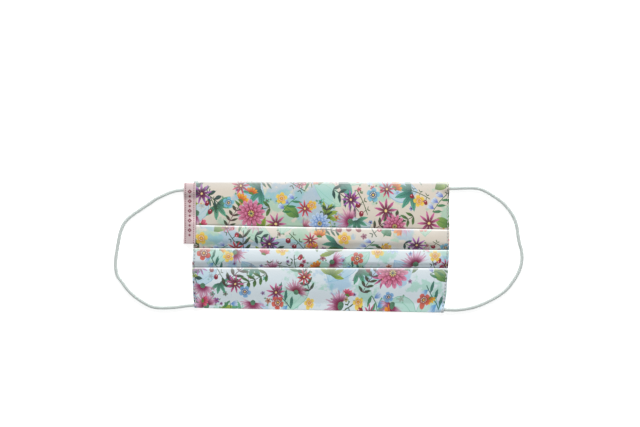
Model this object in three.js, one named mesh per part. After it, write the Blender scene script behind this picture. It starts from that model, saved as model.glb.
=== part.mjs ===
// A pleated cloth face mask that lies flat on a table with its printed side up.
// Three pleats run across it, a round ear loop leaves each side, and a ribbon is sewn over the left edge.
// Millimetres. +X runs along the mask, +Y towards its upper edge, +Z up from the table.
import * as THREE from 'three';

// The folded cloth
const panelWidth = 181;
const panelHeight = 91;
const clothThickness = 1.0;
// From the lip of a pleat down to its hidden turn
const pleatDepth = 9;
// The way over which a band climbs onto the pleat above it, where the band is long enough,
// and the share of the room for it that the climb may take
const climbLength = 5;
const climbShare = 0.9;
// How far a lip stands up half way between the two side seams
const lipLift = 0.6;
// Room between folded layers, and between one piece and the next
const layerGap = 0.3;

// The elastic ear loops
const cordDiameter = 2.6;

// The cloth swells where it wraps the end of a loop
const wrapThickness = 0.3;
const swellLength = 8;
const swellHalfWidth = 4;

// The ribbon over the left edge
const ribbonWidth = 8.6;
const ribbonLength = 42.7;
const ribbonThickness = 1.0;
// How far the ribbon lies over the cloth, and how far its upper end stays below the cloth's
const ribbonLap = 1.4;
const ribbonDrop = 1.5;
// The steepest that the ribbon climbs along its length, as rise over run
const ribbonSlope = 0.9;

// The two long edges and the lips of the pleats, lowest first.
// Heights at the left and the right side, as shares of panelHeight from the mask's middle.
const lowerEdge = { left: -0.485, right: -0.502 };
const pleatLips = [
  { name: 'lower pleat', left: -0.172, right: -0.156 },
  { name: 'middle pleat', left: -0.021, right: -0.015 },
  { name: 'upper pleat', left: 0.157, right: 0.142 },
];
const upperEdge = { left: 0.498, right: 0.509 };

// The two side edges. The level is a share of panelHeight from the mask's middle.
// The reaches are shares of half of panelWidth.
const sideOutline = [
  { level: -0.50, left: 0.985, right: 0.958 },
  { level: -0.37, left: 0.993, right: 0.977 },
  { level: -0.16, left: 1.003, right: 0.989 },
  { level: -0.02, left: 0.996, right: 0.995 },
  { level: 0.15, left: 0.993, right: 0.997 },
  { level: 0.50, left: 0.998, right: 0.992 },
];

// The heights at which the ends of each ear loop enter the side edges, as shares of panelHeight.
const loopEnds = {
  left: { upper: 0.435, lower: -0.463 },
  right: { upper: 0.462, lower: -0.477 },
};

// The route of each ear loop between its ends, from the upper one to the lower one, on the table.
// A point gives the way outwards from half of panelWidth and the height on the mask.
const loopRoutes = {
  left: [
    [7.7, 39.0], [13.2, 38.2], [18.4, 36.3], [22.4, 34.4], [26.9, 32.0], [32.1, 28.3], [37.7, 24.5],
    [42.5, 21.1], [46.6, 17.6], [49.4, 13.5], [51.2, 8.3], [52.5, 1.7], [53.4, -3.9], [54.1, -9.6],
    [54.2, -13.7], [53.9, -18.2], [52.7, -22.2], [49.7, -26.2], [46.1, -31.1], [41.2, -35.9],
    [35.5, -39.9], [29.7, -43.0], [25.5, -44.0], [19.6, -44.2], [11.5, -43.7], [5.5, -42.8],
  ],
  right: [
    [4.9, 42.2], [11.0, 42.5], [17.0, 42.5], [20.3, 42.1], [25.2, 40.1], [30.9, 36.7], [36.6, 32.7],
    [41.1, 27.9], [44.8, 22.3], [46.9, 16.6], [47.8, 11.0], [49.1, 4.0], [50.3, 0.0], [51.0, -5.7],
    [50.1, -12.2], [48.1, -17.5], [44.9, -22.8], [40.5, -28.5], [36.1, -32.2], [30.1, -35.9],
    [24.4, -38.8], [17.9, -41.3], [11.9, -42.7], [5.8, -43.5],
  ],
};

// How finely the round and swollen places are divided
const turnSteps = 5;
const climbSteps = 4;
const swellSteps = 6;
const swellColumns = 4;
const middleColumns = 8;
const ribbonSteps = 24;
const ribbonSamples = 96;
const cordSides = 8;
const cordStep = 6;

// Finishes
const printedCotton = new THREE.MeshStandardMaterial({ color: 0xe2e4df, roughness: 0.9, metalness: 0 });
const wovenRibbon = new THREE.MeshStandardMaterial({ color: 0xdcc9c7, roughness: 0.8, metalness: 0 });
const knittedElastic = new THREE.MeshStandardMaterial({ color: 0xeef1ec, roughness: 0.85, metalness: 0 });

// Reads one column of a table whose rows are in rising order of level, in straight lines between rows.
function readOutline(side, level) {
  const last = sideOutline.length - 1;
  let row = 0;
  while (row < last - 1 && level > sideOutline[row + 1].level) {
    row += 1;
  }
  const from = sideOutline[row];
  const to = sideOutline[row + 1];
  const share = THREE.MathUtils.clamp((level - from.level) / (to.level - from.level), 0, 1);
  return THREE.MathUtils.lerp(from[side], to[side], share);
}

// The outward direction of a side along X.
function outward(side) {
  return side === 'left' ? -1 : 1;
}

// The X of the cloth's side edge at a height on the mask.
function edgeX(side, y) {
  return outward(side) * readOutline(side, y / panelHeight) * panelWidth / 2;
}

// The slope angle of a climb that starts a given run before the centre of the hidden turn.
// The climb is a straight slope from the lowest layer, then an arc over the turn.
// A steeper climb takes a shorter run, so the angle is found by halving an interval.
function climbAngle(run, turnRadius, arcRadius) {
  let gentle = 0.02;
  let steep = Math.PI / 2;
  for (let step = 0; step < 40; step += 1) {
    const angle = (gentle + steep) / 2;
    const slopeRun = (turnRadius + arcRadius * Math.cos(angle)) / Math.tan(angle);
    if (arcRadius * Math.sin(angle) + slopeRun > run) {
      gentle = angle;
    } else {
      steep = angle;
    }
  }
  return (gentle + steep) / 2;
}

// The middle line of the folded cloth at one side, from the lower edge to the upper edge.
// Each point has its height on the mask, its level above the table and its share of the lip's lift.
function foldedLine(side) {
  const pitch = clothThickness + layerGap;
  const low = clothThickness / 2;
  const middle = low + pitch;
  const high = middle + pitch;
  const turnRadius = pitch / 2;
  const turnReach = turnRadius + clothThickness / 2;
  const arcRadius = turnReach + layerGap + clothThickness / 2;
  const line = [];
  const add = (y, z, lift = 0) => line.push({ y, z, lift });
  const addStretch = (from, to, steps, z) => {
    for (let step = 1; step < steps; step += 1) {
      add(THREE.MathUtils.lerp(from, to, step / steps), z);
    }
  };

  const start = lowerEdge[side] * panelHeight;
  const swellEnd = loopEnds[side].lower * panelHeight + swellHalfWidth;
  add(start, low);
  addStretch(start, swellEnd, swellSteps, low);
  let bandStart = swellEnd;

  for (const pleat of pleatLips) {
    const lip = pleat[side] * panelHeight;
    const lipCentre = lip - turnReach;
    const hiddenCentre = lip - pleatDepth + turnReach;
    const run = Math.min(climbLength, climbShare * (hiddenCentre - bandStart));
    const angle = climbAngle(run, turnRadius, arcRadius);
    const liftAt = (y) => THREE.MathUtils.smoothstep(y, hiddenCentre, lip);

    add((bandStart + hiddenCentre - run) / 2, low);
    add(hiddenCentre - run, low);
    for (let step = climbSteps; step >= 0; step -= 1) {
      const lean = angle * step / climbSteps;
      add(hiddenCentre - arcRadius * Math.sin(lean), low + turnRadius + arcRadius * Math.cos(lean));
    }
    const half = (hiddenCentre + lipCentre) / 2;
    add(half, high, liftAt(half));
    for (let step = 0; step <= turnSteps; step += 1) {
      const round = Math.PI * step / turnSteps;
      const y = lipCentre + turnRadius * Math.sin(round);
      add(y, high - turnRadius + turnRadius * Math.cos(round), liftAt(y));
    }
    add(half, middle, liftAt(half));
    for (let step = 0; step <= turnSteps; step += 1) {
      const round = Math.PI * step / turnSteps;
      add(hiddenCentre - turnRadius * Math.sin(round), low + turnRadius + turnRadius * Math.cos(round));
    }
    add(half, low);
    add(lip, low);
    bandStart = lip;
  }

  const end = upperEdge[side] * panelHeight;
  const swellStart = loopEnds[side].upper * panelHeight - swellHalfWidth;
  addStretch(bandStart, swellStart, 3, low);
  add(swellStart, low);
  addStretch(swellStart, end, swellSteps, low);
  add(end, low);
  return line;
}

// A line moved sideways by a distance, to the left of its own direction. Corners are mitred.
function movedLine(line, distance) {
  return line.map((point, index) => {
    const before = line[Math.max(index - 1, 0)];
    const after = line[Math.min(index + 1, line.length - 1)];
    const arriving = new THREE.Vector2(point.y - before.y, point.z - before.z).normalize();
    const leaving = new THREE.Vector2(after.y - point.y, after.z - point.z).normalize();
    const along = arriving.clone().add(leaving).normalize();
    const facing = index === 0 ? leaving : arriving;
    const reach = distance / along.dot(facing);
    return { y: point.y - along.y * reach, z: point.z + along.x * reach };
  });
}

// A closed sheet between a front and a back grid of points.
// Rows run towards +Y and columns towards +X where the front faces up.
function sheetGeometry(front, back) {
  const rows = front.length;
  const columns = front[0].length;
  const positions = [];
  for (const grid of [front, back]) {
    for (const row of grid) {
      for (const point of row) {
        positions.push(point.x, point.y, point.z);
      }
    }
  }
  const backStart = rows * columns;
  const onFront = (row, column) => row * columns + column;
  const onBack = (row, column) => backStart + row * columns + column;
  const faces = [];
  const addQuad = (a, b, c, d) => faces.push(a, b, c, a, c, d);
  for (let row = 0; row < rows - 1; row += 1) {
    for (let column = 0; column < columns - 1; column += 1) {
      const corners = [[row, column], [row, column + 1], [row + 1, column + 1], [row + 1, column]];
      addQuad(...corners.map((corner) => onFront(...corner)));
      addQuad(...corners.map((corner) => onBack(...corner)).reverse());
    }
  }
  for (let column = 0; column < columns - 1; column += 1) {
    const next = column + 1;
    const top = rows - 1;
    addQuad(onBack(0, column), onBack(0, next), onFront(0, next), onFront(0, column));
    addQuad(onBack(top, next), onBack(top, column), onFront(top, column), onFront(top, next));
  }
  for (let row = 0; row < rows - 1; row += 1) {
    const next = row + 1;
    const end = columns - 1;
    addQuad(onBack(next, 0), onBack(row, 0), onFront(row, 0), onFront(next, 0));
    addQuad(onBack(row, end), onBack(next, end), onFront(next, end), onFront(row, end));
  }
  const geometry = new THREE.BufferGeometry();
  geometry.setAttribute('position', new THREE.Float32BufferAttribute(positions, 3));
  geometry.setIndex(faces);
  geometry.computeVertexNormals();
  return geometry;
}

// The rise of the cloth's upper face where it wraps the ends of the loops.
function swellAt(x, y) {
  const height = cordDiameter + 2 * wrapThickness - clothThickness;
  let rise = 0;
  for (const side of ['left', 'right']) {
    for (const level of Object.values(loopEnds[side])) {
      const endY = level * panelHeight;
      const along = Math.abs(x - edgeX(side, endY)) / swellLength;
      const across = Math.abs(y - endY) / swellHalfWidth;
      if (along < 1 && across < 1) {
        const ease = Math.cos(along * Math.PI / 2) * Math.cos(across * Math.PI / 2);
        rise = Math.max(rise, height * ease * ease);
      }
    }
  }
  return rise;
}

// Shares of the width at which the cloth has a column of points, closer together at the swells.
function columnShares() {
  const shares = [];
  const swellShare = swellLength / panelWidth;
  for (let step = 0; step < swellColumns; step += 1) {
    shares.push(swellShare * step / swellColumns);
  }
  for (let step = 0; step <= middleColumns; step += 1) {
    shares.push(THREE.MathUtils.lerp(swellShare, 1 - swellShare, step / middleColumns));
  }
  for (let step = swellColumns - 1; step >= 0; step -= 1) {
    shares.push(1 - swellShare * step / swellColumns);
  }
  return shares;
}

// The cloth, folded into its three pleats, as one sheet from the lower edge to the upper edge.
function pleatedPanel() {
  const lines = { left: foldedLine('left'), right: foldedLine('right') };
  const shares = columnShares();
  const grid = (distance, swells) => {
    const left = movedLine(lines.left, distance);
    const right = movedLine(lines.right, distance);
    return lines.left.map((leftPoint, row) => {
      const leftX = edgeX('left', leftPoint.y);
      const rightX = edgeX('right', lines.right[row].y);
      return shares.map((share) => {
        const x = THREE.MathUtils.lerp(leftX, rightX, share);
        const y = THREE.MathUtils.lerp(left[row].y, right[row].y, share);
        const lift = lipLift * leftPoint.lift * Math.sin(Math.PI * share);
        const swell = swells ? swellAt(x, y) : 0;
        const z = THREE.MathUtils.lerp(left[row].z, right[row].z, share) + lift + swell;
        return new THREE.Vector3(x, y, z);
      });
    });
  };
  const mesh = new THREE.Mesh(
    sheetGeometry(grid(clothThickness / 2, true), grid(-clothThickness / 2, false)),
    printedCotton,
  );
  mesh.name = 'pleated_panel';
  return mesh;
}

// The top of the folded cloth at the left edge, at a height on the mask.
function clothTopAt(y) {
  const upperFace = movedLine(foldedLine('left'), clothThickness / 2);
  let top = 0;
  for (let index = 1; index < upperFace.length; index += 1) {
    const from = upperFace[index - 1];
    const to = upperFace[index];
    const share = (y - from.y) / (to.y - from.y);
    if (share >= 0 && share <= 1) {
      top = Math.max(top, THREE.MathUtils.lerp(from.z, to.z, share));
    }
  }
  return top + swellAt(edgeX('left', y), y);
}

// The top of the left loop under the ribbon, at a height on the mask.
// There it runs from its end to the first point of its route.
function loopTopAt(y) {
  const end = loopEnds.left.upper * panelHeight;
  const first = loopRoutes.left[0][1];
  const away = Math.max(Math.min(end, first) - y, y - Math.max(end, first));
  return away < cordDiameter / 2 ? cordDiameter : 0;
}

// The ribbon. It lies over the cloth's edge and the loop, and its free side comes down to the table.
function labelRibbon() {
  const upper = upperEdge.left * panelHeight - ribbonDrop;
  const lower = upper - ribbonLength;
  const step = ribbonLength / ribbonSteps;
  const samples = [];
  for (let index = 0; index <= ribbonSamples; index += 1) {
    const y = THREE.MathUtils.lerp(lower, upper, index / ribbonSamples);
    samples.push({ y, cloth: Math.max(clothTopAt(y), loopTopAt(y)), loop: loopTopAt(y) });
  }
  const heightOver = (name, y) => samples.reduce((height, sample) => {
    const away = Math.max(0, Math.abs(y - sample.y) - step);
    return Math.max(height, sample[name] - ribbonSlope * away);
  }, 0) + layerGap;

  const sewnX = edgeX('left', (upper + lower) / 2) + ribbonLap;
  const bendX = edgeX('left', (upper + lower) / 2) - ribbonLap / 2;
  const freeX = sewnX - ribbonWidth;
  const columns = [
    { x: freeX, climb: 0 },
    { x: THREE.MathUtils.lerp(freeX, bendX, 0.4), climb: 0.3 },
    { x: THREE.MathUtils.lerp(freeX, bendX, 0.75), climb: 0.75 },
    { x: bendX, climb: 1 },
    { x: sewnX, climb: 1 },
  ];
  const grid = (thickness) => {
    const rows = [];
    for (let index = 0; index <= ribbonSteps; index += 1) {
      const y = lower + step * index;
      const sewn = heightOver('cloth', y);
      const free = heightOver('loop', y);
      rows.push(columns.map(({ x, climb }) => (
        new THREE.Vector3(x, y, THREE.MathUtils.lerp(free, sewn, climb) + thickness)
      )));
    }
    return rows;
  };
  const mesh = new THREE.Mesh(sheetGeometry(grid(ribbonThickness), grid(0)), wovenRibbon);
  mesh.name = 'label_ribbon';
  return mesh;
}

// One ear loop, a round cord that lies on the table and meets the cloth's edge at both ends.
function earLoop(side) {
  const radius = cordDiameter / 2;
  const endPoint = (level) => {
    const y = level * panelHeight;
    return new THREE.Vector3(edgeX(side, y) + outward(side) * layerGap, y, radius);
  };
  const routePoint = ([reach, y]) => (
    new THREE.Vector3(outward(side) * (panelWidth / 2 + reach), y, radius)
  );
  const route = new THREE.CatmullRomCurve3([
    endPoint(loopEnds[side].upper),
    ...loopRoutes[side].map(routePoint),
    endPoint(loopEnds[side].lower),
  ]);
  const outline = [];
  for (let corner = 0; corner < cordSides; corner += 1) {
    const angle = 2 * Math.PI * corner / cordSides;
    outline.push(new THREE.Vector2(radius * Math.cos(angle), radius * Math.sin(angle)));
  }
  const geometry = new THREE.ExtrudeGeometry(new THREE.Shape(outline), {
    steps: Math.round(route.getLength() / cordStep),
    bevelEnabled: false,
    extrudePath: route,
  });
  const mesh = new THREE.Mesh(geometry, knittedElastic);
  mesh.name = `ear_loop_${side}`;
  return mesh;
}

// The mask's origin is on the table, under the middle of the cloth and its ribbon.
const panel = pleatedPanel();
const ribbon = labelRibbon();
const clothBox = new THREE.Box3().setFromObject(panel).union(new THREE.Box3().setFromObject(ribbon));
const clothMiddle = clothBox.getCenter(new THREE.Vector3());

const mask = new THREE.Group();
mask.add(panel, ribbon, earLoop('left'), earLoop('right'));
mask.position.set(-clothMiddle.x, -clothMiddle.y, 0);

export default mask;
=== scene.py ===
"""A pleated cloth face mask with round ear loops and a sewn-on ribbon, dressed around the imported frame."""
import logging
import math
import random
from dataclasses import dataclass, field
from enum import Enum
from typing import NamedTuple

import bpy
import numpy as np
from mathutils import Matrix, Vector, noise


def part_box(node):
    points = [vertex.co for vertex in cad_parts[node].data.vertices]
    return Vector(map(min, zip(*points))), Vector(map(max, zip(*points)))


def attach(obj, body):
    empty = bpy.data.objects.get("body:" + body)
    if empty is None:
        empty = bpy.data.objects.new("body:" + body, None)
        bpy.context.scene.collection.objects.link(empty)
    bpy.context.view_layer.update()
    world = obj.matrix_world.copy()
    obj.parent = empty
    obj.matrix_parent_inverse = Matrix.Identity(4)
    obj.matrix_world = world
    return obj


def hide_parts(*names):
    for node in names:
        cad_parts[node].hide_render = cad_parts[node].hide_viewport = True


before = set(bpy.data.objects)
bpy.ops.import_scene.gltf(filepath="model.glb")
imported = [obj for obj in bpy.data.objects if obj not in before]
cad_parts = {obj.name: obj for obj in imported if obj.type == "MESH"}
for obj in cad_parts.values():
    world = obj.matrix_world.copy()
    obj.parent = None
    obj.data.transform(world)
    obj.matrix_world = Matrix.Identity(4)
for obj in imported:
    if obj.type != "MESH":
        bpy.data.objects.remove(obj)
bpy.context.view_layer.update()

MM = 0.001

log = logging.getLogger("cloth_mask")


class Side(Enum):
    """The two side edges of the mask, with their outward direction along X."""

    LEFT = -1
    RIGHT = 1


def colour(code: str) -> tuple[float, float, float, float]:
    """Turns a web colour into linear red, green, blue and alpha.

    Args:
        code: Six hexadecimal digits.

    Returns:
        The four linear numbers.
    """
    parts = [int(code[start:start + 2], 16) / 255 for start in (0, 2, 4)]
    linear = [part / 12.92 if part < 0.04045 else ((part + 0.055) / 1.055) ** 2.4 for part in parts]
    return (*linear, 1.0)


def smooth(value: float) -> float:
    """Eases a value from 0 to 1 with level ends."""
    value = min(max(value, 0.0), 1.0)
    return value * value * (3 - 2 * value)


class Wire:
    """One output of a shader tree, which can stand in a sum, a product or a comparison."""

    def __init__(self, paint: "Paint", socket: bpy.types.NodeSocket) -> None:
        """Keeps the paint that the socket belongs to."""
        self.paint = paint
        self.socket = socket

    def _math(self, operation: str, *values: "Wire | float") -> "Wire":
        """Adds one Math node with these inputs."""
        return self.paint.node("ShaderNodeMath", {"operation": operation}, dict(enumerate(values)))

    def __add__(self, other: "Wire | float") -> "Wire":
        """Adds two values."""
        return self._math("ADD", self, other)

    def __radd__(self, other: float) -> "Wire":
        """Adds a number before a wire."""
        return self._math("ADD", other, self)

    def __sub__(self, other: "Wire | float") -> "Wire":
        """Takes a value away."""
        return self._math("SUBTRACT", self, other)

    def __rsub__(self, other: float) -> "Wire":
        """Takes a wire away from a number."""
        return self._math("SUBTRACT", other, self)

    def __mul__(self, other: "Wire | float") -> "Wire":
        """Multiplies two values."""
        return self._math("MULTIPLY", self, other)

    def __rmul__(self, other: float) -> "Wire":
        """Multiplies a number by a wire."""
        return self._math("MULTIPLY", other, self)

    def __truediv__(self, other: "Wire | float") -> "Wire":
        """Divides by a value."""
        return self._math("DIVIDE", self, other)

    def __pow__(self, other: "Wire | float") -> "Wire":
        """Raises to a power."""
        return self._math("POWER", self, other)

    def __abs__(self) -> "Wire":
        """Drops the sign."""
        return self._math("ABSOLUTE", self)

    def __gt__(self, other: "Wire | float") -> "Wire":
        """Is 1 where this is the greater, and 0 elsewhere."""
        return self._math("GREATER_THAN", self, other)

    def least(self, other: "Wire | float") -> "Wire":
        """Takes the lesser of two values."""
        return self._math("MINIMUM", self, other)

    def most(self, other: "Wire | float") -> "Wire":
        """Takes the greater of two values."""
        return self._math("MAXIMUM", self, other)

    def sine(self) -> "Wire":
        """Takes the sine."""
        return self._math("SINE", self)

    def cosine(self) -> "Wire":
        """Takes the cosine."""
        return self._math("COSINE", self)

    def part(self) -> "Wire":
        """Takes what is left above the whole number."""
        return self._math("FRACT", self)

    def clamped(self) -> "Wire":
        """Keeps the value from 0 to 1."""
        return self.most(0.0).least(1.0)

    def bearing(self, across: "Wire") -> "Wire":
        """Takes the angle whose rise is this and whose run is across."""
        return self._math("ARCTAN2", self, across)

    def ramp(self, low: "Wire | float", high: "Wire | float") -> "Wire":
        """Eases from 0 to 1 as this goes from low to high, which may be the lesser.

        Args:
            low: The value that gives 0.
            high: The value that gives 1.

        Returns:
            The eased wire.
        """
        return self.paint.node(
            "ShaderNodeMapRange",
            {"interpolation_type": "SMOOTHSTEP"},
            {"Value": self, "From Min": low, "From Max": high},
        )


class Arrow(Wire):
    """A vector output of a shader tree."""

    def added(self, other: "Arrow | tuple[float, float, float]") -> "Arrow":
        """Adds another vector."""
        return self.paint.arrow("ADD", self, other)

    def scaled(self, factor: Wire | float) -> "Arrow":
        """Multiplies the length."""
        return self.paint.arrow("SCALE", self, Scale=factor)

    def wrapped(self, low: tuple[float, float, float], high: tuple[float, float, float]) -> "Arrow":
        """Brings each part between two limits by whole repeats."""
        return self.paint.arrow("WRAP", self, high, low)

    def dot(self, other: tuple[float, float, float]) -> Wire:
        """Takes the product with a fixed direction."""
        return self.paint.node(
            "ShaderNodeVectorMath", {"operation": "DOT_PRODUCT"}, {0: self, 1: other}, output="Value"
        )

    def split(self) -> tuple[Wire, Wire, Wire]:
        """Gives the three parts."""
        made = self.paint.node("ShaderNodeSeparateXYZ", {}, {0: self})
        sockets = made.socket.node.outputs
        return Wire(self.paint, sockets[0]), Wire(self.paint, sockets[1]), Wire(self.paint, sockets[2])


class Paint:
    """A material's shader tree, filled from Python expressions."""

    def __init__(self, name: str) -> None:
        """Makes an empty material with its output.

        Args:
            name: The material's name.
        """
        self.material = bpy.data.materials.new(name)
        self.material.use_nodes = True
        self.tree = self.material.node_tree
        self.tree.nodes.clear()
        self.output = self.tree.nodes.new("ShaderNodeOutputMaterial")

    def _feed(self, socket: bpy.types.NodeSocket, value: object) -> None:
        """Links a wire to a socket, or sets the socket's own value.

        Args:
            socket: The input socket.
            value: A wire or a plain value.
        """
        if isinstance(value, Wire):
            self.tree.links.new(value.socket, socket)
        else:
            socket.default_value = value

    def node(
        self,
        kind: str,
        settings: dict[str, object] | None = None,
        inputs: dict[int | str, object] | None = None,
        output: int | str = 0,
    ) -> Wire:
        """Adds one node.

        Args:
            kind: The node's type.
            settings: The node's own settings, set before its sockets. A ramp takes its stops.
            inputs: Values or wires by socket number or name.
            output: The output that is wanted.

        Returns:
            The wire of that output.
        """
        made = self.tree.nodes.new(kind)
        for name, value in (settings or {}).items():
            if name == "stops":
                self._stops(made.color_ramp, value)
            else:
                setattr(made, name, value)
        for name, value in (inputs or {}).items():
            self._feed(made.inputs[name], value)
        return Wire(self, made.outputs[output])

    @staticmethod
    def _stops(ramp: bpy.types.ColorRamp, stops: list[tuple[float, tuple]]) -> None:
        """Sets the stops of a colour ramp, lowest first.

        Args:
            ramp: The ramp.
            stops: The place and the colour of each stop.
        """
        while len(ramp.elements) < len(stops):
            ramp.elements.new(0.5)
        for element, (place, shade) in zip(ramp.elements, stops):
            element.position = place
            element.color = shade

    def arrow(self, operation: str, *values: object, **named: object) -> Arrow:
        """Adds one Vector Math node.

        Args:
            operation: The node's operation.
            values: Its vectors in order.
            named: Further sockets by name.

        Returns:
            The vector that comes out.
        """
        inputs: dict[int | str, object] = dict(enumerate(values))
        inputs.update(named)
        made = self.node("ShaderNodeVectorMath", {"operation": operation}, inputs)
        return Arrow(self, made.socket)

    def joined(self, across: Wire | float, up: Wire | float, depth: Wire | float = 0.0) -> Arrow:
        """Makes a vector of three values."""
        return Arrow(self, self.node("ShaderNodeCombineXYZ", {}, {0: across, 1: up, 2: depth}).socket)

    def mix(self, share: Wire | float, base: object, top: object, blend: str = "MIX") -> Wire:
        """Lays one colour over another.

        Args:
            share: How much of the top colour shows.
            base: The colour below.
            top: The colour above.
            blend: The way that they are joined.

        Returns:
            The mixed colour.
        """
        settings = {"data_type": "RGBA", "blend_type": blend}
        return self.node("ShaderNodeMix", settings, {0: share, 6: base, 7: top}, output=2)

    def noise(self, place: Wire, scale: float, detail: float = 2.0, roughness: float = 0.5) -> Wire:
        """Reads soft noise at a place."""
        inputs = {"Vector": place, "Scale": scale, "Detail": detail, "Roughness": roughness}
        return self.node("ShaderNodeTexNoise", {}, inputs)

    def flat_place(self, layer: str) -> Arrow:
        """Reads the place on the flat cloth, in millimetres, from a UV layer that holds metres."""
        made = self.node("ShaderNodeUVMap", {"uv_map": layer})
        return Arrow(self, made.socket).scaled(1 / MM)

    def object_place(self) -> Arrow:
        """Reads the place on the piece, in metres."""
        return Arrow(self, self.node("ShaderNodeTexCoord", output="Object").socket)

    def finish(
        self, base: object, roughness: object, height: Wire | None, depth: float, **extra: object
    ) -> None:
        """Adds the surface shader and its bump.

        Args:
            base: The colour.
            roughness: The roughness.
            height: The height that the bump reads, or none.
            depth: The bump's distance in metres.
            extra: Further sockets of the shader by name, with underscores for spaces.
        """
        inputs = {"Base Color": base, "Roughness": roughness}
        inputs.update({name.replace("_", " "): value for name, value in extra.items()})
        if height is not None:
            bump = {"Height": height, "Strength": 1.0, "Distance": depth}
            inputs["Normal"] = self.node("ShaderNodeBump", {}, bump)
        shader = self.node("ShaderNodeBsdfPrincipled", {}, inputs, output="BSDF")
        self.tree.links.new(shader.socket, self.output.inputs["Surface"])


def plain_weave(place: Arrow, pitch: float) -> Wire:
    """Gives the height of a plain weave, from 0 in the gaps to 1 on the threads.

    Args:
        place: The place on the flat cloth.
        pitch: The way from one thread to the next, in the same unit.

    Returns:
        The height.
    """
    across, up, _ = place.split()
    turn = 2 * math.pi / pitch
    return 0.5 + (across * turn).sine() * (up * turn).sine() * 0.5


class Stencil(Paint):
    """A node group that is filled like a material's tree and used many times.

    Each use hands its cell on to the next one, moved by next to nothing with the colour so far. Without
    that, the renderer works out all motifs before it joins any, and its shader stack overflows.
    """

    hand_on: float = 1e-6

    def __init__(self, name: str, inputs: dict[str, str]) -> None:
        """Makes an empty group with its two outputs.

        Args:
            name: The group's name.
            inputs: The type of each input by its name.
        """
        self.tree = bpy.data.node_groups.new(name, "ShaderNodeTree")
        for label, kind in inputs.items():
            self.tree.interface.new_socket(label, in_out="INPUT", socket_type=kind)
        self.tree.interface.new_socket("Colour", in_out="OUTPUT", socket_type="NodeSocketColor")
        self.tree.interface.new_socket("Cell", in_out="OUTPUT", socket_type="NodeSocketVector")
        self.source = self.tree.nodes.new("NodeGroupInput")
        self.output = self.tree.nodes.new("NodeGroupOutput")

    def given(self, label: str) -> Wire:
        """Gives the wire of one of the group's inputs."""
        return Wire(self, self.source.outputs[label])

    def close(self, painted: Wire) -> None:
        """Links the group's outputs.

        Args:
            painted: The colour that goes out.
        """
        moved = self.arrow("MULTIPLY_ADD", painted, (self.hand_on,) * 3, self.given("Cell"))
        self.tree.links.new(painted.socket, self.output.inputs["Colour"])
        self.tree.links.new(moved.socket, self.output.inputs["Cell"])


def mesh_object(name: str, points: np.ndarray, faces: list[tuple[int, ...]]) -> bpy.types.Object:
    """Makes a smooth-shaded mesh object at the origin.

    Args:
        name: The piece's name.
        points: The points in metres, one a row.
        faces: The corners of each face.

    Returns:
        The new object.
    """
    mesh = bpy.data.meshes.new(name)
    mesh.from_pydata([tuple(point) for point in points], [], faces)
    mesh.polygons.foreach_set("use_smooth", [True] * len(mesh.polygons))
    mesh.update()
    piece = bpy.data.objects.new(name, mesh)
    bpy.context.scene.collection.objects.link(piece)
    return piece


def set_flat_places(piece: bpy.types.Object, layer: str, places: np.ndarray) -> None:
    """Writes one flat place a point into a UV layer.

    Args:
        piece: The mesh object.
        layer: The layer's name.
        places: Two numbers a point, in metres.
    """
    mesh = piece.data
    uv_layer = mesh.uv_layers.new(name=layer)
    corner_points = np.empty(len(mesh.loops), dtype=np.int32)
    mesh.loops.foreach_get("vertex_index", corner_points)
    uv_layer.data.foreach_set("uv", places[corner_points].astype(np.float32).ravel())


def travelled(path: np.ndarray) -> np.ndarray:
    """Gives the length of the way to each point of a path."""
    return np.concatenate([[0.0], np.cumsum(np.linalg.norm(np.diff(path, axis=0), axis=1))])


def sheet_faces(rows: int, columns: int) -> tuple[list[tuple[int, ...]], int]:
    """Lists the faces of a closed sheet whose front points come before its back points.

    Args:
        rows: Rows of points, towards +Y where the front faces up.
        columns: Columns of points, towards +X.

    Returns:
        The faces, and how many of them belong to the front and its rim.
    """
    back = rows * columns

    def front_at(row: int, column: int) -> int:
        """Numbers a front point."""
        return row * columns + column

    front_faces = []
    back_faces = []
    for row in range(rows - 1):
        for column in range(columns - 1):
            ring = [(row, column), (row, column + 1), (row + 1, column + 1), (row + 1, column)]
            face = tuple(front_at(*corner) for corner in ring)
            front_faces.append(face)
            back_faces.append(tuple(back + corner for corner in reversed(face)))
    rim = []
    top = rows - 1
    end = columns - 1
    for column in range(columns - 1):
        low = (front_at(0, column), front_at(0, column + 1))
        high = (front_at(top, column), front_at(top, column + 1))
        rim.append((back + low[0], back + low[1], low[1], low[0]))
        rim.append((back + high[1], back + high[0], high[0], high[1]))
    for row in range(rows - 1):
        left = (front_at(row, 0), front_at(row + 1, 0))
        right = (front_at(row, end), front_at(row + 1, end))
        rim.append((back + left[1], back + left[0], left[0], left[1]))
        rim.append((back + right[0], back + right[1], right[1], right[0]))
    return front_faces + rim + back_faces, len(front_faces) + len(rim)


def tube_faces(start: int, rings: int, sides: int) -> list[tuple[int, ...]]:
    """Lists the faces of a closed tube.

    Args:
        start: The number of the tube's first point.
        rings: How many rings of points it has.
        sides: How many points a ring has.

    Returns:
        The faces of its wall and its two ends.
    """
    faces: list[tuple[int, ...]] = []
    for ring in range(rings - 1):
        near, far = start + ring * sides, start + (ring + 1) * sides
        for corner in range(sides):
            after = (corner + 1) % sides
            faces.append((near + corner, near + after, far + after, far + corner))
    last = start + (rings - 1) * sides
    faces.append(tuple(start + corner for corner in range(sides - 1, -1, -1)))
    faces.append(tuple(last + corner for corner in range(sides)))
    return faces


@dataclass
class PleatLip:
    """The lip of a pleat or an outer edge, as shares of the cloth's folded height from its middle."""

    left: float
    right: float

    def at(self, side: Side) -> float:
        """Gives the share at one side edge."""
        return self.left if side is Side.LEFT else self.right


@dataclass
class OutlineRow:
    """Where the side edges are at one level. Reaches are shares of half of the width."""

    level: float
    left: float
    right: float


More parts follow.
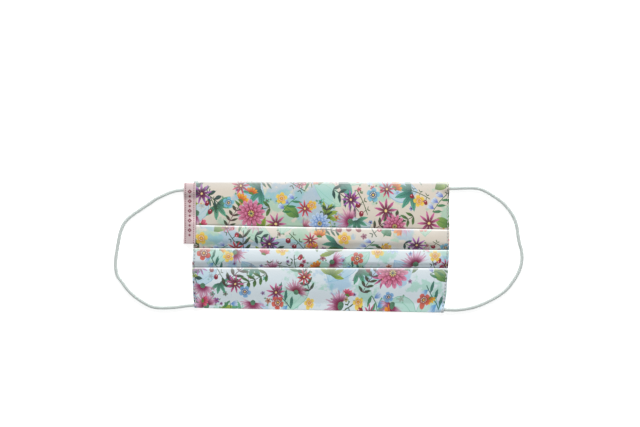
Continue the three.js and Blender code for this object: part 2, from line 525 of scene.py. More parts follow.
@dataclass(frozen=True)
class Bulge:
    """How a band of the cloth rises between its two ends. A lean below 1 moves its crest downwards."""

    low_y: float
    high_y: float
    rise: float
    lean: float = 1.0

    def at(self, y: float) -> float:
        """Gives the rise at a height on the mask."""
        share = min(1.0, max(0.0, (y - self.low_y) / (self.high_y - self.low_y)))
        return self.rise * math.sin(math.pi * share ** self.lean)


@dataclass
class FoldLine:
    """The middle of the cloth at one side edge, gathered from the lower edge to the upper edge.

    A point holds the height on the mask, the level and how far the band bulges there.
    """

    points: list[tuple[float, float, float]] = field(default_factory=list)

    def stretch(
        self, start: float, stop: float, steps: int, level: float, bulge: Bulge | None = None
    ) -> None:
        """Adds the inner points of a level stretch.

        Args:
            start: The height on the mask at which it begins.
            stop: The height at which it ends.
            steps: How many steps it has.
            level: Its level.
            bulge: The bulge of its band, if it is part of one.
        """
        for step in range(1, steps):
            y = start + (stop - start) * step / steps
            self.points.append((y, level, bulge.at(y) if bulge else 0.0))

    def climb(
        self, foot: tuple[float, float], crest: tuple[float, float], steps: int, ease: float, bulge: Bulge
    ) -> None:
        """Adds the climb of a band over the layers below it.

        Args:
            foot: The height on the mask and the level at which it begins.
            crest: The same at which it ends.
            steps: How many steps it has.
            ease: How much of it leaves the foot gently, as a share.
            bulge: The bulge of the band.
        """
        for step in range(steps + 1):
            share = step / steps
            y = foot[0] + (crest[0] - foot[0]) * share
            rise = ease * smooth(share) + (1 - ease) * math.sin(share * math.pi / 2)
            self.points.append((y, foot[1] + (crest[1] - foot[1]) * rise, bulge.at(y)))

    def turn(
        self, centre: tuple[float, float], reach: float, steps: int, bulge: Bulge | None = None
    ) -> None:
        """Adds a round half turn, from its top down to its bottom.

        Args:
            centre: The height on the mask and the level of its middle.
            reach: Its radius, below 0 where it turns towards the lower edge.
            steps: How many steps it has.
            bulge: The bulge of the band that its upper half belongs to.
        """
        for step in range(steps + 1):
            around = math.pi * step / steps
            y = centre[0] + reach * math.sin(around)
            rise = bulge.at(y) if bulge and around < math.pi / 2 else 0.0
            self.points.append((y, centre[1] + abs(reach) * math.cos(around), rise))


@dataclass
class FoldedCloth:
    """The printed cloth, folded into three pleats and sewn down along its side edges."""

    width: float = 181.0 * MM
    height: float = 91.0 * MM
    thickness: float = 1.0 * MM
    gap: float = 0.1 * MM
    pleat_depth: float = 9.0 * MM
    climb_length: float = 17.0 * MM
    climb_share: float = 0.9
    climb_ease: float = 0.25
    lower_bulge: float = 0.2 * MM
    band_bulge: float = 0.7 * MM
    plain_bulge: float = 1.1 * MM
    plain_lean: float = 0.75
    bulge_margin: float = 16.0 * MM
    cord_diameter: float = 2.6 * MM
    wrap: float = 0.3 * MM
    swell_length: float = 8.0 * MM
    swell_half_width: float = 4.0 * MM
    lower_edge: PleatLip = field(default_factory=lambda: PleatLip(-0.485, -0.502))
    upper_edge: PleatLip = field(default_factory=lambda: PleatLip(0.498, 0.509))
    lips: list[PleatLip] = field(
        default_factory=lambda: [PleatLip(-0.172, -0.156), PleatLip(-0.021, -0.015), PleatLip(0.157, 0.142)]
    )
    outline: list[OutlineRow] = field(
        default_factory=lambda: [
            OutlineRow(-0.50, 0.985, 0.958),
            OutlineRow(-0.37, 0.993, 0.977),
            OutlineRow(-0.16, 1.003, 0.989),
            OutlineRow(-0.02, 0.996, 0.995),
            OutlineRow(0.15, 0.993, 0.997),
            OutlineRow(0.50, 0.998, 0.992),
        ]
    )
    cord_entries: dict[Side, tuple[float, float]] = field(
        default_factory=lambda: {Side.LEFT: (0.435, -0.463), Side.RIGHT: (0.462, -0.477)}
    )
    # How finely the cloth is divided
    turn_steps: int = 12
    climb_steps: int = 18
    lap_steps: int = 6
    lower_band_steps: int = 18
    middle_band_steps: int = 4
    upper_band_steps: int = 24
    column_step: float = 1.3 * MM
    rim_steps: tuple[float, ...] = (0.0, 0.08, 0.3, 0.62, 1.0)
    # The softness of the cloth
    wave_height: float = 0.5 * MM
    broad_wave: float = 34.0 * MM
    fine_wave: float = 13.0 * MM
    pucker_depth: float = 0.16 * MM
    pucker_width: float = 0.7 * MM
    stitch_inset: float = 1.3 * MM
    stitch_pitch: float = 2.4 * MM
    # Where the painted highlight along the upper edge lies, below that edge
    edge_highlight_inset: float = 0.8 * MM
    layer: str = "ClothFlat"
    # What is known once the cloth is placed and built
    shift: Vector = field(default_factory=lambda: Vector((0.0, 0.0, 0.0)))
    panel: bpy.types.Object | None = None
    flat_height: float = 0.0
    front_grid: np.ndarray | None = None
    lip_rows: list[int] = field(default_factory=list)
    tuck_rows: list[int] = field(default_factory=list)

    def place_on(self, node: str) -> None:
        """Finds how far the cloth's middle lies from the frame's origin.

        Args:
            node: The CAD node that the cloth stands for.
        """
        low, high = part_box(node)
        reach_left = max(row.left for row in self.outline) * self.width / 2
        top = max(self.upper_edge.left, self.upper_edge.right) * self.height
        self.shift = Vector((low[0] + reach_left, high[1] - top, 0.0))

    def edge_x(self, side: Side, y: float) -> float:
        """Gives the side edge's X at a height on the cloth, before the shift.

        Args:
            side: The side edge.
            y: The height on the mask.

        Returns:
            The place across the mask, from the cloth's middle.
        """
        levels = [row.level for row in self.outline]
        reaches = [row.left if side is Side.LEFT else row.right for row in self.outline]
        return side.value * float(np.interp(y / self.height, levels, reaches)) * self.width / 2

    def swell(self, x: float, y: float) -> float:
        """Gives how far the upper face rises round the sewn-in ends of the loops.

        Args:
            x: The place across the mask, from the cloth's middle.
            y: The height on the mask.

        Returns:
            The rise.
        """
        height = self.cord_diameter + 2 * self.wrap - self.thickness
        rise = 0.0
        for side, levels in self.cord_entries.items():
            for level in levels:
                entry = level * self.height
                along = abs(x - self.edge_x(side, entry)) / self.swell_length
                across = abs(y - entry) / self.swell_half_width
                if along < 1 and across < 1:
                    ease = math.cos(along * math.pi / 2) * math.cos(across * math.pi / 2)
                    rise = max(rise, height * ease * ease)
        return rise

    def rim_insets(self) -> list[float]:
        """Lists how far in from an edge the points of its rounded rim are."""
        return [self.thickness / 2 * step for step in self.rim_steps]

    def fold_line(self, side: Side) -> np.ndarray:
        """Follows the middle of the cloth at one side edge from the lower edge to the upper edge.

        Args:
            side: The side edge.

        Returns:
            One row a point: the height on the mask, the level and how far the band bulges there.
        """
        pitch = self.thickness + self.gap
        low = self.thickness / 2
        middle, high = low + pitch, low + 2 * pitch
        turn = pitch / 2
        turn_reach = turn + self.thickness / 2
        line = FoldLine()
        self.lip_rows.clear()
        self.tuck_rows.clear()
        rim = self.rim_insets()
        start = self.lower_edge.at(side) * self.height
        line.points.extend((start + inset, low, 0.0) for inset in rim)
        band_start = start + rim[-1]
        band_steps = self.lower_band_steps
        for pleat in self.lips:
            lip = pleat.at(side) * self.height
            lip_centre = lip - turn_reach
            hidden = lip - self.pleat_depth + turn_reach
            foot = hidden - min(self.climb_length, self.climb_share * (hidden - band_start))
            bulge = Bulge(band_start, lip, self.band_bulge if self.lip_rows else self.lower_bulge)
            line.stretch(band_start, foot, band_steps, low, bulge)
            line.climb((foot, low), (hidden - turn, high), self.climb_steps, self.climb_ease, bulge)
            line.points.append((hidden, high, bulge.at(hidden)))
            line.stretch(hidden, lip_centre, self.lap_steps, high, bulge)
            self.lip_rows.append(len(line.points) + self.turn_steps // 3)
            line.turn((lip_centre, high - turn), turn, self.turn_steps, bulge)
            line.stretch(lip_centre, hidden, self.lap_steps, middle)
            line.turn((hidden, low + turn), -turn, self.turn_steps)
            line.stretch(hidden, lip, self.lap_steps, low)
            self.tuck_rows.append(len(line.points))
            line.points.append((lip, low, 0.0))
            band_start = lip
            band_steps = self.middle_band_steps
        end = self.upper_edge.at(side) * self.height
        band_end = end - rim[-1]
        bulge = Bulge(band_start, band_end, self.plain_bulge, self.plain_lean)
        line.stretch(band_start, band_end, self.upper_band_steps, low, bulge)
        line.points.extend((end - inset, low, 0.0) for inset in reversed(rim))
        return np.array(line.points)

    def moved_line(self, line: np.ndarray, distances: np.ndarray) -> np.ndarray:
        """Moves each point of a line sideways by its own distance, with mitred corners.

        Args:
            line: The points, each with its height on the mask and its level first.
            distances: How far each point moves, towards the front where positive.

        Returns:
            The moved points.
        """
        path = line[:, :2]
        steps = np.diff(path, axis=0)
        steps /= np.linalg.norm(steps, axis=1)[:, None]
        arriving = np.vstack([steps[:1], steps])
        leaving = np.vstack([steps, steps[-1:]])
        along = arriving + leaving
        along /= np.linalg.norm(along, axis=1)[:, None]
        reach = distances / np.sum(along * arriving, axis=1)
        return path + np.column_stack([-along[:, 1] * reach, along[:, 0] * reach])

    def column_places(self) -> list[float]:
        """Lists the columns' distances from the left edge, closer together at both edges.

        Returns:
            The distances in metres.
        """
        rim = self.rim_insets()
        inner = self.width - 2 * rim[-1]
        count = round(inner / self.column_step)
        middle = [rim[-1] + inner * step / count for step in range(1, count)]
        return rim + middle + [self.width - inset for inset in reversed(rim)]

    def wave(self, x: float, y: float) -> float:
        """Gives the soft unevenness of the lying cloth, which every layer shares.

        Args:
            x: The place across the mask, from the cloth's middle.
            y: The height on the mask.

        Returns:
            The rise.
        """
        place = Vector((x, y, 0.0))
        broad = noise.noise(place / self.broad_wave + Vector((3.1, 7.7, 0.4)))
        fine = noise.noise(place / self.fine_wave + Vector((9.2, 1.3, 2.6)))
        return self.wave_height * max(0.0, 0.5 + 0.65 * broad + 0.3 * fine)

    def pucker(self, edge_distance: float, y: float) -> float:
        """Gives the dimple that each side stitch pulls into the cloth.

        Args:
            edge_distance: The way inwards from the nearer side edge.
            y: The height on the mask.

        Returns:
            The depth.
        """
        across = (edge_distance - self.stitch_inset) / self.pucker_width
        if abs(across) > 3:
            return 0.0
        along = 0.5 + 0.5 * math.cos(2 * math.pi * y / self.stitch_pitch)
        return self.pucker_depth * math.exp(-across * across) * (0.35 + 0.65 * along)

    def thinned(self, count: int) -> np.ndarray:
        """Gives the cloth's thickness along a row of points, as shares: full, but rounded at both ends.

        Args:
            count: How many points the row has.

        Returns:
            One share a point.
        """
        rim = [math.sqrt(1 - (1 - step) ** 2) for step in self.rim_steps]
        shares = np.ones(count)
        shares[:len(rim)] = rim
        shares[-len(rim):] = rim[::-1]
        return shares

    def skins(self, lines: dict[Side, np.ndarray], travel: np.ndarray) -> tuple[np.ndarray, np.ndarray]:
        """Lays out the points of the front and then those of the back, from the lower edge upwards.

        Args:
            lines: The fold line at each side edge.
            travel: The way along the left fold line to each of its points.

        Returns:
            The points in the frame, and their places on the flat cloth.
        """
        columns = self.column_places()
        rows = len(travel)
        row_share = self.thinned(rows)
        column_share = self.thinned(len(columns))
        points = []
        places = []
        for facing in (1, -1):
            grids = {}
            for side, line in lines.items():
                full = self.moved_line(line, np.full(rows, facing * self.thickness / 2))
                grids[side] = (line[:, :2], full - line[:, :2])
            for row in range(rows):
                left_y, right_y = lines[Side.LEFT][row, 0], lines[Side.RIGHT][row, 0]
                ends = self.edge_x(Side.LEFT, left_y), self.edge_x(Side.RIGHT, right_y)
                for column, distance in enumerate(columns):
                    share = distance / self.width
                    inset = min(distance, self.width - distance)
                    centre = grids[Side.LEFT][0][row] * (1 - share) + grids[Side.RIGHT][0][row] * share
                    offset = grids[Side.LEFT][1][row] * (1 - share) + grids[Side.RIGHT][1][row] * share
                    thin = min(row_share[row], column_share[column])
                    y, z = centre + offset * thin
                    x = ends[0] + (ends[1] - ends[0]) * share
                    z += lines[Side.LEFT][row, 2] * smooth(inset / self.bulge_margin)
                    z += self.wave(x, centre[0])
                    if facing > 0:
                        z += self.swell(x, y) * thin
                        z -= self.pucker(inset, y)
                    points.append((x + self.shift.x, y + self.shift.y, max(z, 0.0)))
                    places.append((distance, travel[row]))
        return np.array(points), np.array(places)

    def build(self, printed: "FloralPrint", reverse: "PlainReverse") -> bpy.types.Object:
        """Makes the folded cloth as one closed mesh with a printed front and a plain back.

        Args:
            printed: The front's finish.
            reverse: The back's finish.

        Returns:
            The piece.
        """
        lines = {side: self.fold_line(side) for side in Side}
        travel = travelled(lines[Side.LEFT][:, :2])
        self.flat_height = float(travel[-1])
        points, places = self.skins(lines, travel)
        rows = len(travel)
        columns = len(points) // (2 * rows)
        self.front_grid = points[:rows * columns].reshape(rows, columns, 3)
        faces, front_count = sheet_faces(rows, columns)
        self.panel = mesh_object("printed_panel", points, faces)
        set_flat_places(self.panel, self.layer, places)
        # The lips and a line just below the upper edge get painted highlights; the tucks get painted shade
        lips = [travel[row] / MM for row in self.lip_rows] + [(travel[-1] - self.edge_highlight_inset) / MM]
        tucks = [travel[row] / MM for row in self.tuck_rows]
        seams = [self.stitch_inset / MM, (self.width - self.stitch_inset) / MM]
        self.panel.data.materials.append(printed.material(self.layer, lips, tucks, seams))
        self.panel.data.materials.append(reverse.material(self.layer))
        sides = np.zeros(len(faces), dtype=np.int32)
        sides[front_count:] = 1
        self.panel.data.polygons.foreach_set("material_index", sides)
        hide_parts("pleated_panel")
        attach(self.panel, "root")
        return self.panel

    def top_at(self, edge_distance: float, side: Side, y: float) -> float:
        """Gives the cloth's highest level at a place near a side edge, in the frame.

        Args:
            edge_distance: The way inwards from the side edge.
            side: The side edge.
            y: The height on the mask, in the frame.

        Returns:
            The level, or 0 where there is no cloth.
        """
        columns = np.array(self.column_places())
        distance = edge_distance if side is Side.LEFT else self.width - edge_distance
        column = int(np.argmin(np.abs(columns - distance)))
        line = self.front_grid[:, column]
        low_y, high_y = line[:-1, 1], line[1:, 1]
        with np.errstate(divide="ignore", invalid="ignore"):
            share = (y - low_y) / (high_y - low_y)
        hit = (share >= 0) & (share <= 1)
        if not hit.any():
            return 0.0
        level = line[:-1, 2] + (line[1:, 2] - line[:-1, 2]) * np.where(hit, share, 0)
        return float(level[hit].max())


@dataclass
class RibbonLabel:
    """The woven ribbon sewn over the left side edge. It bridges the pleat and the loop below it."""

    cloth: FoldedCloth
    width: float = 8.6 * MM
    length: float = 42.7 * MM
    thickness: float = 0.55 * MM
    lap: float = 1.4 * MM
    drop: float = 1.5 * MM
    clearance: float = 0.2 * MM
    near_edge: float = 0.3 * MM
    cord_drop: float = 0.2 * MM
    slope: float = 0.55
    free_level: float = 0.5 * MM
    step: float = 0.45 * MM
    columns: int = 20
    softness: float = 2.2 * MM
    sway: float = 0.12 * MM
    sway_length: float = 6.5 * MM
    layer: str = "RibbonFlat"

    def under_levels(self, heights: np.ndarray, cord_y: float) -> tuple[np.ndarray, np.ndarray]:
        """Gives what the ribbon lies on along its sewn side and along its free side.

        Args:
            heights: The places along the ribbon, in the frame.
            cord_y: The height at which the loop passes below the ribbon.

        Returns:
            The levels below the sewn side and below the free side.
        """
        radius = self.cloth.cord_diameter / 2
        away = np.abs(heights - cord_y)
        cord = np.where(away < radius, radius + np.sqrt(np.maximum(radius ** 2 - away ** 2, 0)), 0)
        insets = (self.near_edge, self.lap)
        cloth = [max(self.cloth.top_at(inset, Side.LEFT, y) for inset in insets) for y in heights]
        return np.maximum(cloth, cord), np.maximum(cord, self.free_level)

    def drape(self, heights: np.ndarray, under: np.ndarray) -> np.ndarray:
        """Lays the ribbon over what is below it, no steeper than its slope, and softens it.

        Args:
            heights: The places along the ribbon.
            under: The level below it at each of them.

        Returns:
            The level of the ribbon's lower face at each of them.
        """
        apart = np.abs(heights[:, None] - heights[None, :])
        reach = np.maximum(apart - self.softness, 0)
        cover = (under[None, :] - self.slope * reach).max(axis=1)
        weights = np.maximum(1 - apart / self.softness, 0)
        return (weights @ cover) / weights.sum(axis=1) + self.clearance

    def build(self, finish: "WovenRibbon") -> bpy.types.Object:
        """Makes the ribbon as one closed thin mesh.

        Args:
            finish: The ribbon's finish.

        Returns:
            The piece.
        """
        cloth = self.cloth
        top = cloth.upper_edge.left * cloth.height - self.drop + cloth.shift.y
        count = round(self.length / self.step) + 1
        heights = np.linspace(top - self.length, top, count)
        cord_y = cloth.cord_entries[Side.LEFT][0] * cloth.height - self.cord_drop + cloth.shift.y
        sewn_under, free_under = self.under_levels(heights, cord_y)
        sewn = self.drape(heights, sewn_under)
        free = self.drape(heights, free_under)
        middle = top - self.length / 2 - cloth.shift.y
        edge = cloth.edge_x(Side.LEFT, middle) + cloth.shift.x
        sewn_x = edge + self.lap
        free_x = sewn_x - self.width
        hinge = (edge - self.near_edge - free_x) / self.width
        rim = np.array([0.0, 0.25, 0.75, 1.0])
        points = []
        places = []
        for facing in (1, -1):
            for row, y in enumerate(heights):
                for column in range(self.columns):
                    share = column / (self.columns - 1)
                    climb = smooth(share / hinge) if share < hinge else 1.0
                    level = free[row] + (sewn[row] - free[row]) * climb
                    border = min(share, 1 - share) * self.width / self.thickness
                    ends = min(row, count - 1 - row) * self.step / self.thickness
                    full = float(np.interp(min(border, ends), rim, (0.3, 0.7, 1.0, 1.0)))
                    z = level + self.thickness / 2 * (1 + facing * full)
                    sway = self.sway * math.sin(y / self.sway_length)
                    points.append((free_x + share * self.width + sway, y, z))
                    places.append((share * self.width, y - heights[0]))
        faces, _ = sheet_faces(count, self.columns)
        piece = mesh_object("woven_ribbon", np.array(points), faces)
        set_flat_places(piece, self.layer, np.array(places))
        piece.data.materials.append(finish.material(self.layer, self.length, self.width))
        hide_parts("label_ribbon")
        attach(piece, "root")
        return piece


# The routes of the ear loops between their ends, from the upper one to the lower one.
# A point gives the way outwards from half of the cloth's width and the height on the mask.
LOOP_ROUTES: dict[Side, list[tuple[float, float]]] = {
    Side.LEFT: [
        (0.0077, 0.0390), (0.0132, 0.0382), (0.0184, 0.0363), (0.0224, 0.0344), (0.0269, 0.0320),
        (0.0321, 0.0283), (0.0377, 0.0245), (0.0425, 0.0211), (0.0466, 0.0176), (0.0494, 0.0135),
        (0.0512, 0.0083), (0.0525, 0.0017), (0.0534, -0.0039), (0.0541, -0.0096), (0.0542, -0.0137),
        (0.0539, -0.0182), (0.0527, -0.0222), (0.0497, -0.0262), (0.0461, -0.0311), (0.0412, -0.0359),
        (0.0355, -0.0399), (0.0297, -0.0430), (0.0255, -0.0440), (0.0196, -0.0442), (0.0115, -0.0437),
        (0.0055, -0.0428),
    ],
    Side.RIGHT: [
        (0.0049, 0.0422), (0.0110, 0.0425), (0.0170, 0.0425), (0.0203, 0.0421), (0.0252, 0.0401),
        (0.0309, 0.0367), (0.0366, 0.0327), (0.0411, 0.0279), (0.0448, 0.0223), (0.0469, 0.0166),
        (0.0478, 0.0110), (0.0491, 0.0040), (0.0503, 0.0000), (0.0510, -0.0057), (0.0501, -0.0122),
        (0.0481, -0.0175), (0.0449, -0.0228), (0.0405, -0.0285), (0.0361, -0.0322), (0.0301, -0.0359),
        (0.0244, -0.0388), (0.0179, -0.0413), (0.0119, -0.0427), (0.0058, -0.0435),
    ],
}


@dataclass
class EarLoop:
    """A loop of round knitted elastic that lies on the table, with both ends sewn into a side edge."""

    cloth: FoldedCloth
    side: Side
    tuck: float = 2.0 * MM
    ring_step: float = 0.28 * MM
    sides: int = 32
    ribs: int = 8
    rib_depth: float = 0.05
    knit_pitch: float = 1.0 * MM
    layer: str = "ElasticFlat"

    def route(self) -> np.ndarray:
        """Follows the loop's middle line through its points, in steps of one ring.

        Returns:
            One point a row, in the frame.
        """
        cloth = self.cloth
        out = self.side.value
        level = cloth.cord_diameter / 2
        upper, lower = (share * cloth.height for share in cloth.cord_entries[self.side])
        points = [(cloth.edge_x(self.side, upper), upper)]
        points += [(out * (cloth.width / 2 + reach), y) for reach, y in LOOP_ROUTES[self.side]]
        points += [(cloth.edge_x(self.side, lower), lower)]
        path = self.curve([np.array(point) for point in points])
        first, last = path[0].copy(), path[-1].copy()
        inward = np.array([-out * self.tuck, 0.0])
        path = np.vstack([[first + inward], path, [last + inward]])
        lengths = travelled(path)
        count = round(lengths[-1] / self.ring_step)
        along = np.linspace(0, lengths[-1], count + 1)
        flat = np.column_stack([np.interp(along, lengths, path[:, axis]) for axis in (0, 1)])
        return np.column_stack([flat + np.array(cloth.shift[:2]), np.full(len(flat), level)])

    @staticmethod
    def curve(points: list[np.ndarray], steps: int = 24) -> np.ndarray:
        """Draws a centripetal Catmull-Rom curve through the points.

        Args:
            points: The points in order.
            steps: How many steps lead from one point to the next.

        Returns:
            One point a row.
        """
        ghosts = [2 * points[0] - points[1], *points, 2 * points[-1] - points[-2]]
        drawn = []
        for first, second, third, fourth in zip(ghosts, ghosts[1:], ghosts[2:], ghosts[3:]):
            knots = [0.0]
            for start, stop in ((first, second), (second, third), (third, fourth)):
                knots.append(knots[-1] + math.sqrt(float(np.linalg.norm(stop - start))))
            for step in range(steps):
                at = knots[1] + (knots[2] - knots[1]) * step / steps
                level = [first, second, third, fourth]
                for degree in (1, 2, 3):
                    low = 1 if degree == 3 else 0
                    reach = 1 if degree == 3 else degree
                    level = [
                        (level[i] * (knots[i + low + reach] - at) + level[i + 1] * (at - knots[i + low]))
                        / (knots[i + low + reach] - knots[i + low])
                        for i in range(len(level) - 1)
                    ]
                drawn.append(level[0])
        drawn.append(points[-1])
        return np.array(drawn)

    def build(self, finish: "KnittedElastic") -> bpy.types.Object:
        """Makes the loop as a closed tube with a knitted relief.

        Args:
            finish: The elastic's finish.

        Returns:
            The piece.
        """
        path = self.route()
        ahead = np.gradient(path, axis=0)
        ahead /= np.linalg.norm(ahead, axis=1)[:, None]
        up = np.array([0.0, 0.0, 1.0])
        across = np.cross(ahead, up)
        radius = self.cloth.cord_diameter / 2
        travel = travelled(path)
        angles = 2 * math.pi * np.arange(self.sides) / self.sides
        points = []
        places = []
        for row, middle in enumerate(path):
            weave = 2 * math.pi * travel[row] / self.knit_pitch
            for angle in angles:
                twist = math.cos(self.ribs * angle + weave / 2) * math.cos(self.ribs * angle - weave / 2)
                relief = 1 - self.rib_depth * (0.5 - 0.5 * twist)
                arm = across[row] * math.cos(angle) + up * math.sin(angle)
                points.append(middle + arm * radius * relief)
                places.append((radius * angle, travel[row]))
        name = f"elastic_loop_{self.side.name.lower()}"
        piece = mesh_object(name, np.array(points), tube_faces(0, len(path), self.sides))
        set_flat_places(piece, self.layer, np.array(places))
        piece.data.materials.append(finish.material(self.layer))
        node = f"ear_loop_{self.side.name.lower()}"
        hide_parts(node)
        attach(piece, "root")
        return piece


@dataclass
class SideStitches:
    """The row of stitches that holds the pleats down along one side edge."""

    cloth: FoldedCloth
    side: Side
    low: float
    high: float
    stitch_length: float = 1.55 * MM
    thread_radius: float = 0.16 * MM
    lean: float = 0.12 * MM
    sunk: float = 0.2 * MM
    step_limit: float = 1.2 * MM
    rings: int = 7
    sides: int = 8
    seed: int = 11

    def build(self, finish: "SewingThread") -> bpy.types.Object:
        """Makes all stitches of the row as one mesh of small closed tubes.

        Args:
            finish: The thread's finish.

        Returns:
            The piece.
        """
        draw = random.Random(self.seed + self.side.value)
        cloth = self.cloth
        pitch = cloth.stitch_pitch
        points: list[tuple[float, float, float]] = []
        faces: list[tuple[int, ...]] = []
        first = math.ceil((self.low - cloth.shift.y) / pitch)
        last = math.floor((self.high - cloth.shift.y) / pitch)
        for number in range(first, last):
            middle = (number + 0.5) * pitch + cloth.shift.y
            lean = draw.uniform(-self.lean, self.lean)
            line = []
            for ring in range(self.rings):
                share = ring / (self.rings - 1)
                y = middle + (share - 0.5) * self.stitch_length
                x = cloth.edge_x(self.side, y - cloth.shift.y) + cloth.shift.x
                x += -self.side.value * cloth.stitch_inset + lean * (share - 0.5)
                top = cloth.top_at(cloth.stitch_inset, self.side, y)
                arch = math.sin(math.pi * share) ** 0.5
                z = top - self.sunk + arch * (self.sunk + self.thread_radius * 0.6)
                line.append(Vector((x, y, z)))
            levels = [point.z for point in line]
            if max(levels) - min(levels) <= self.step_limit:
                self._tube(line, points, faces)
        piece = mesh_object(f"side_stitches_{self.side.name.lower()}", np.array(points), faces)
        piece.data.materials.append(finish.material())
        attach(piece, "root")
        return piece

    def _tube(
        self, line: list[Vector], points: list[tuple[float, float, float]], faces: list[tuple[int, ...]]
    ) -> None:
        """Adds one closed tube along a line.

        Args:
            line: The tube's middle line.
            points: The mesh's points, which it adds to.
            faces: The mesh's faces, which it adds to.
        """
        start = len(points)
        for index, middle in enumerate(line):
            ahead = (line[min(index + 1, len(line) - 1)] - line[max(index - 1, 0)]).normalized()
            across = ahead.cross(Vector((0, 0, 1))).normalized()
            up = across.cross(ahead)
            for corner in range(self.sides):
                angle = 2 * math.pi * corner / self.sides
                arm = across * math.cos(angle) + up * math.sin(angle)
                points.append(tuple(middle + arm * self.thread_radius))
        faces.extend(tube_faces(start, len(line), self.sides))


class MotifKind(Enum):
    """The motifs of the print."""

    BLOOM = "bloom"
    STAR = "star"
    FAN = "fan"
    SPRIG = "sprig"
    BERRIES = "berries"
    BELLS = "bells"
    BROAD_LEAF = "broad leaf"
    ROUNDEL = "roundel"
    BRUSH = "brush"
    WASH_LEAF = "wash leaf"
    TUFT = "tuft"


class Canvas(NamedTuple):
    """What a motif is drawn on and with.

    Attributes:
        paint: The motif's node group.
        base: The print so far.
        across: The place along the motif's own X, in millimetres.
        up: The place along its own Y, in millimetres.
        size: Its radius or length in millimetres.
        inks: Its three colours, from the middle or stem outwards.
    """

    paint: Stencil
    base: Wire
    across: Wire
    up: Wire
    size: Wire
    inks: tuple[Wire, Wire, Wire]


@dataclass(frozen=True)
class Motif:
    """One motif of the repeat.

    Attributes:
        kind: What is drawn.
        place: Where it is, as shares of the repeat's two sides.
        turn: How far it is turned, in degrees.
        size: Its radius or length in millimetres.
        inks: Its colours, from the middle or stem outwards.
    """

    kind: MotifKind
    place: tuple[float, float]
    turn: float
    size: float
    inks: tuple[str, ...]
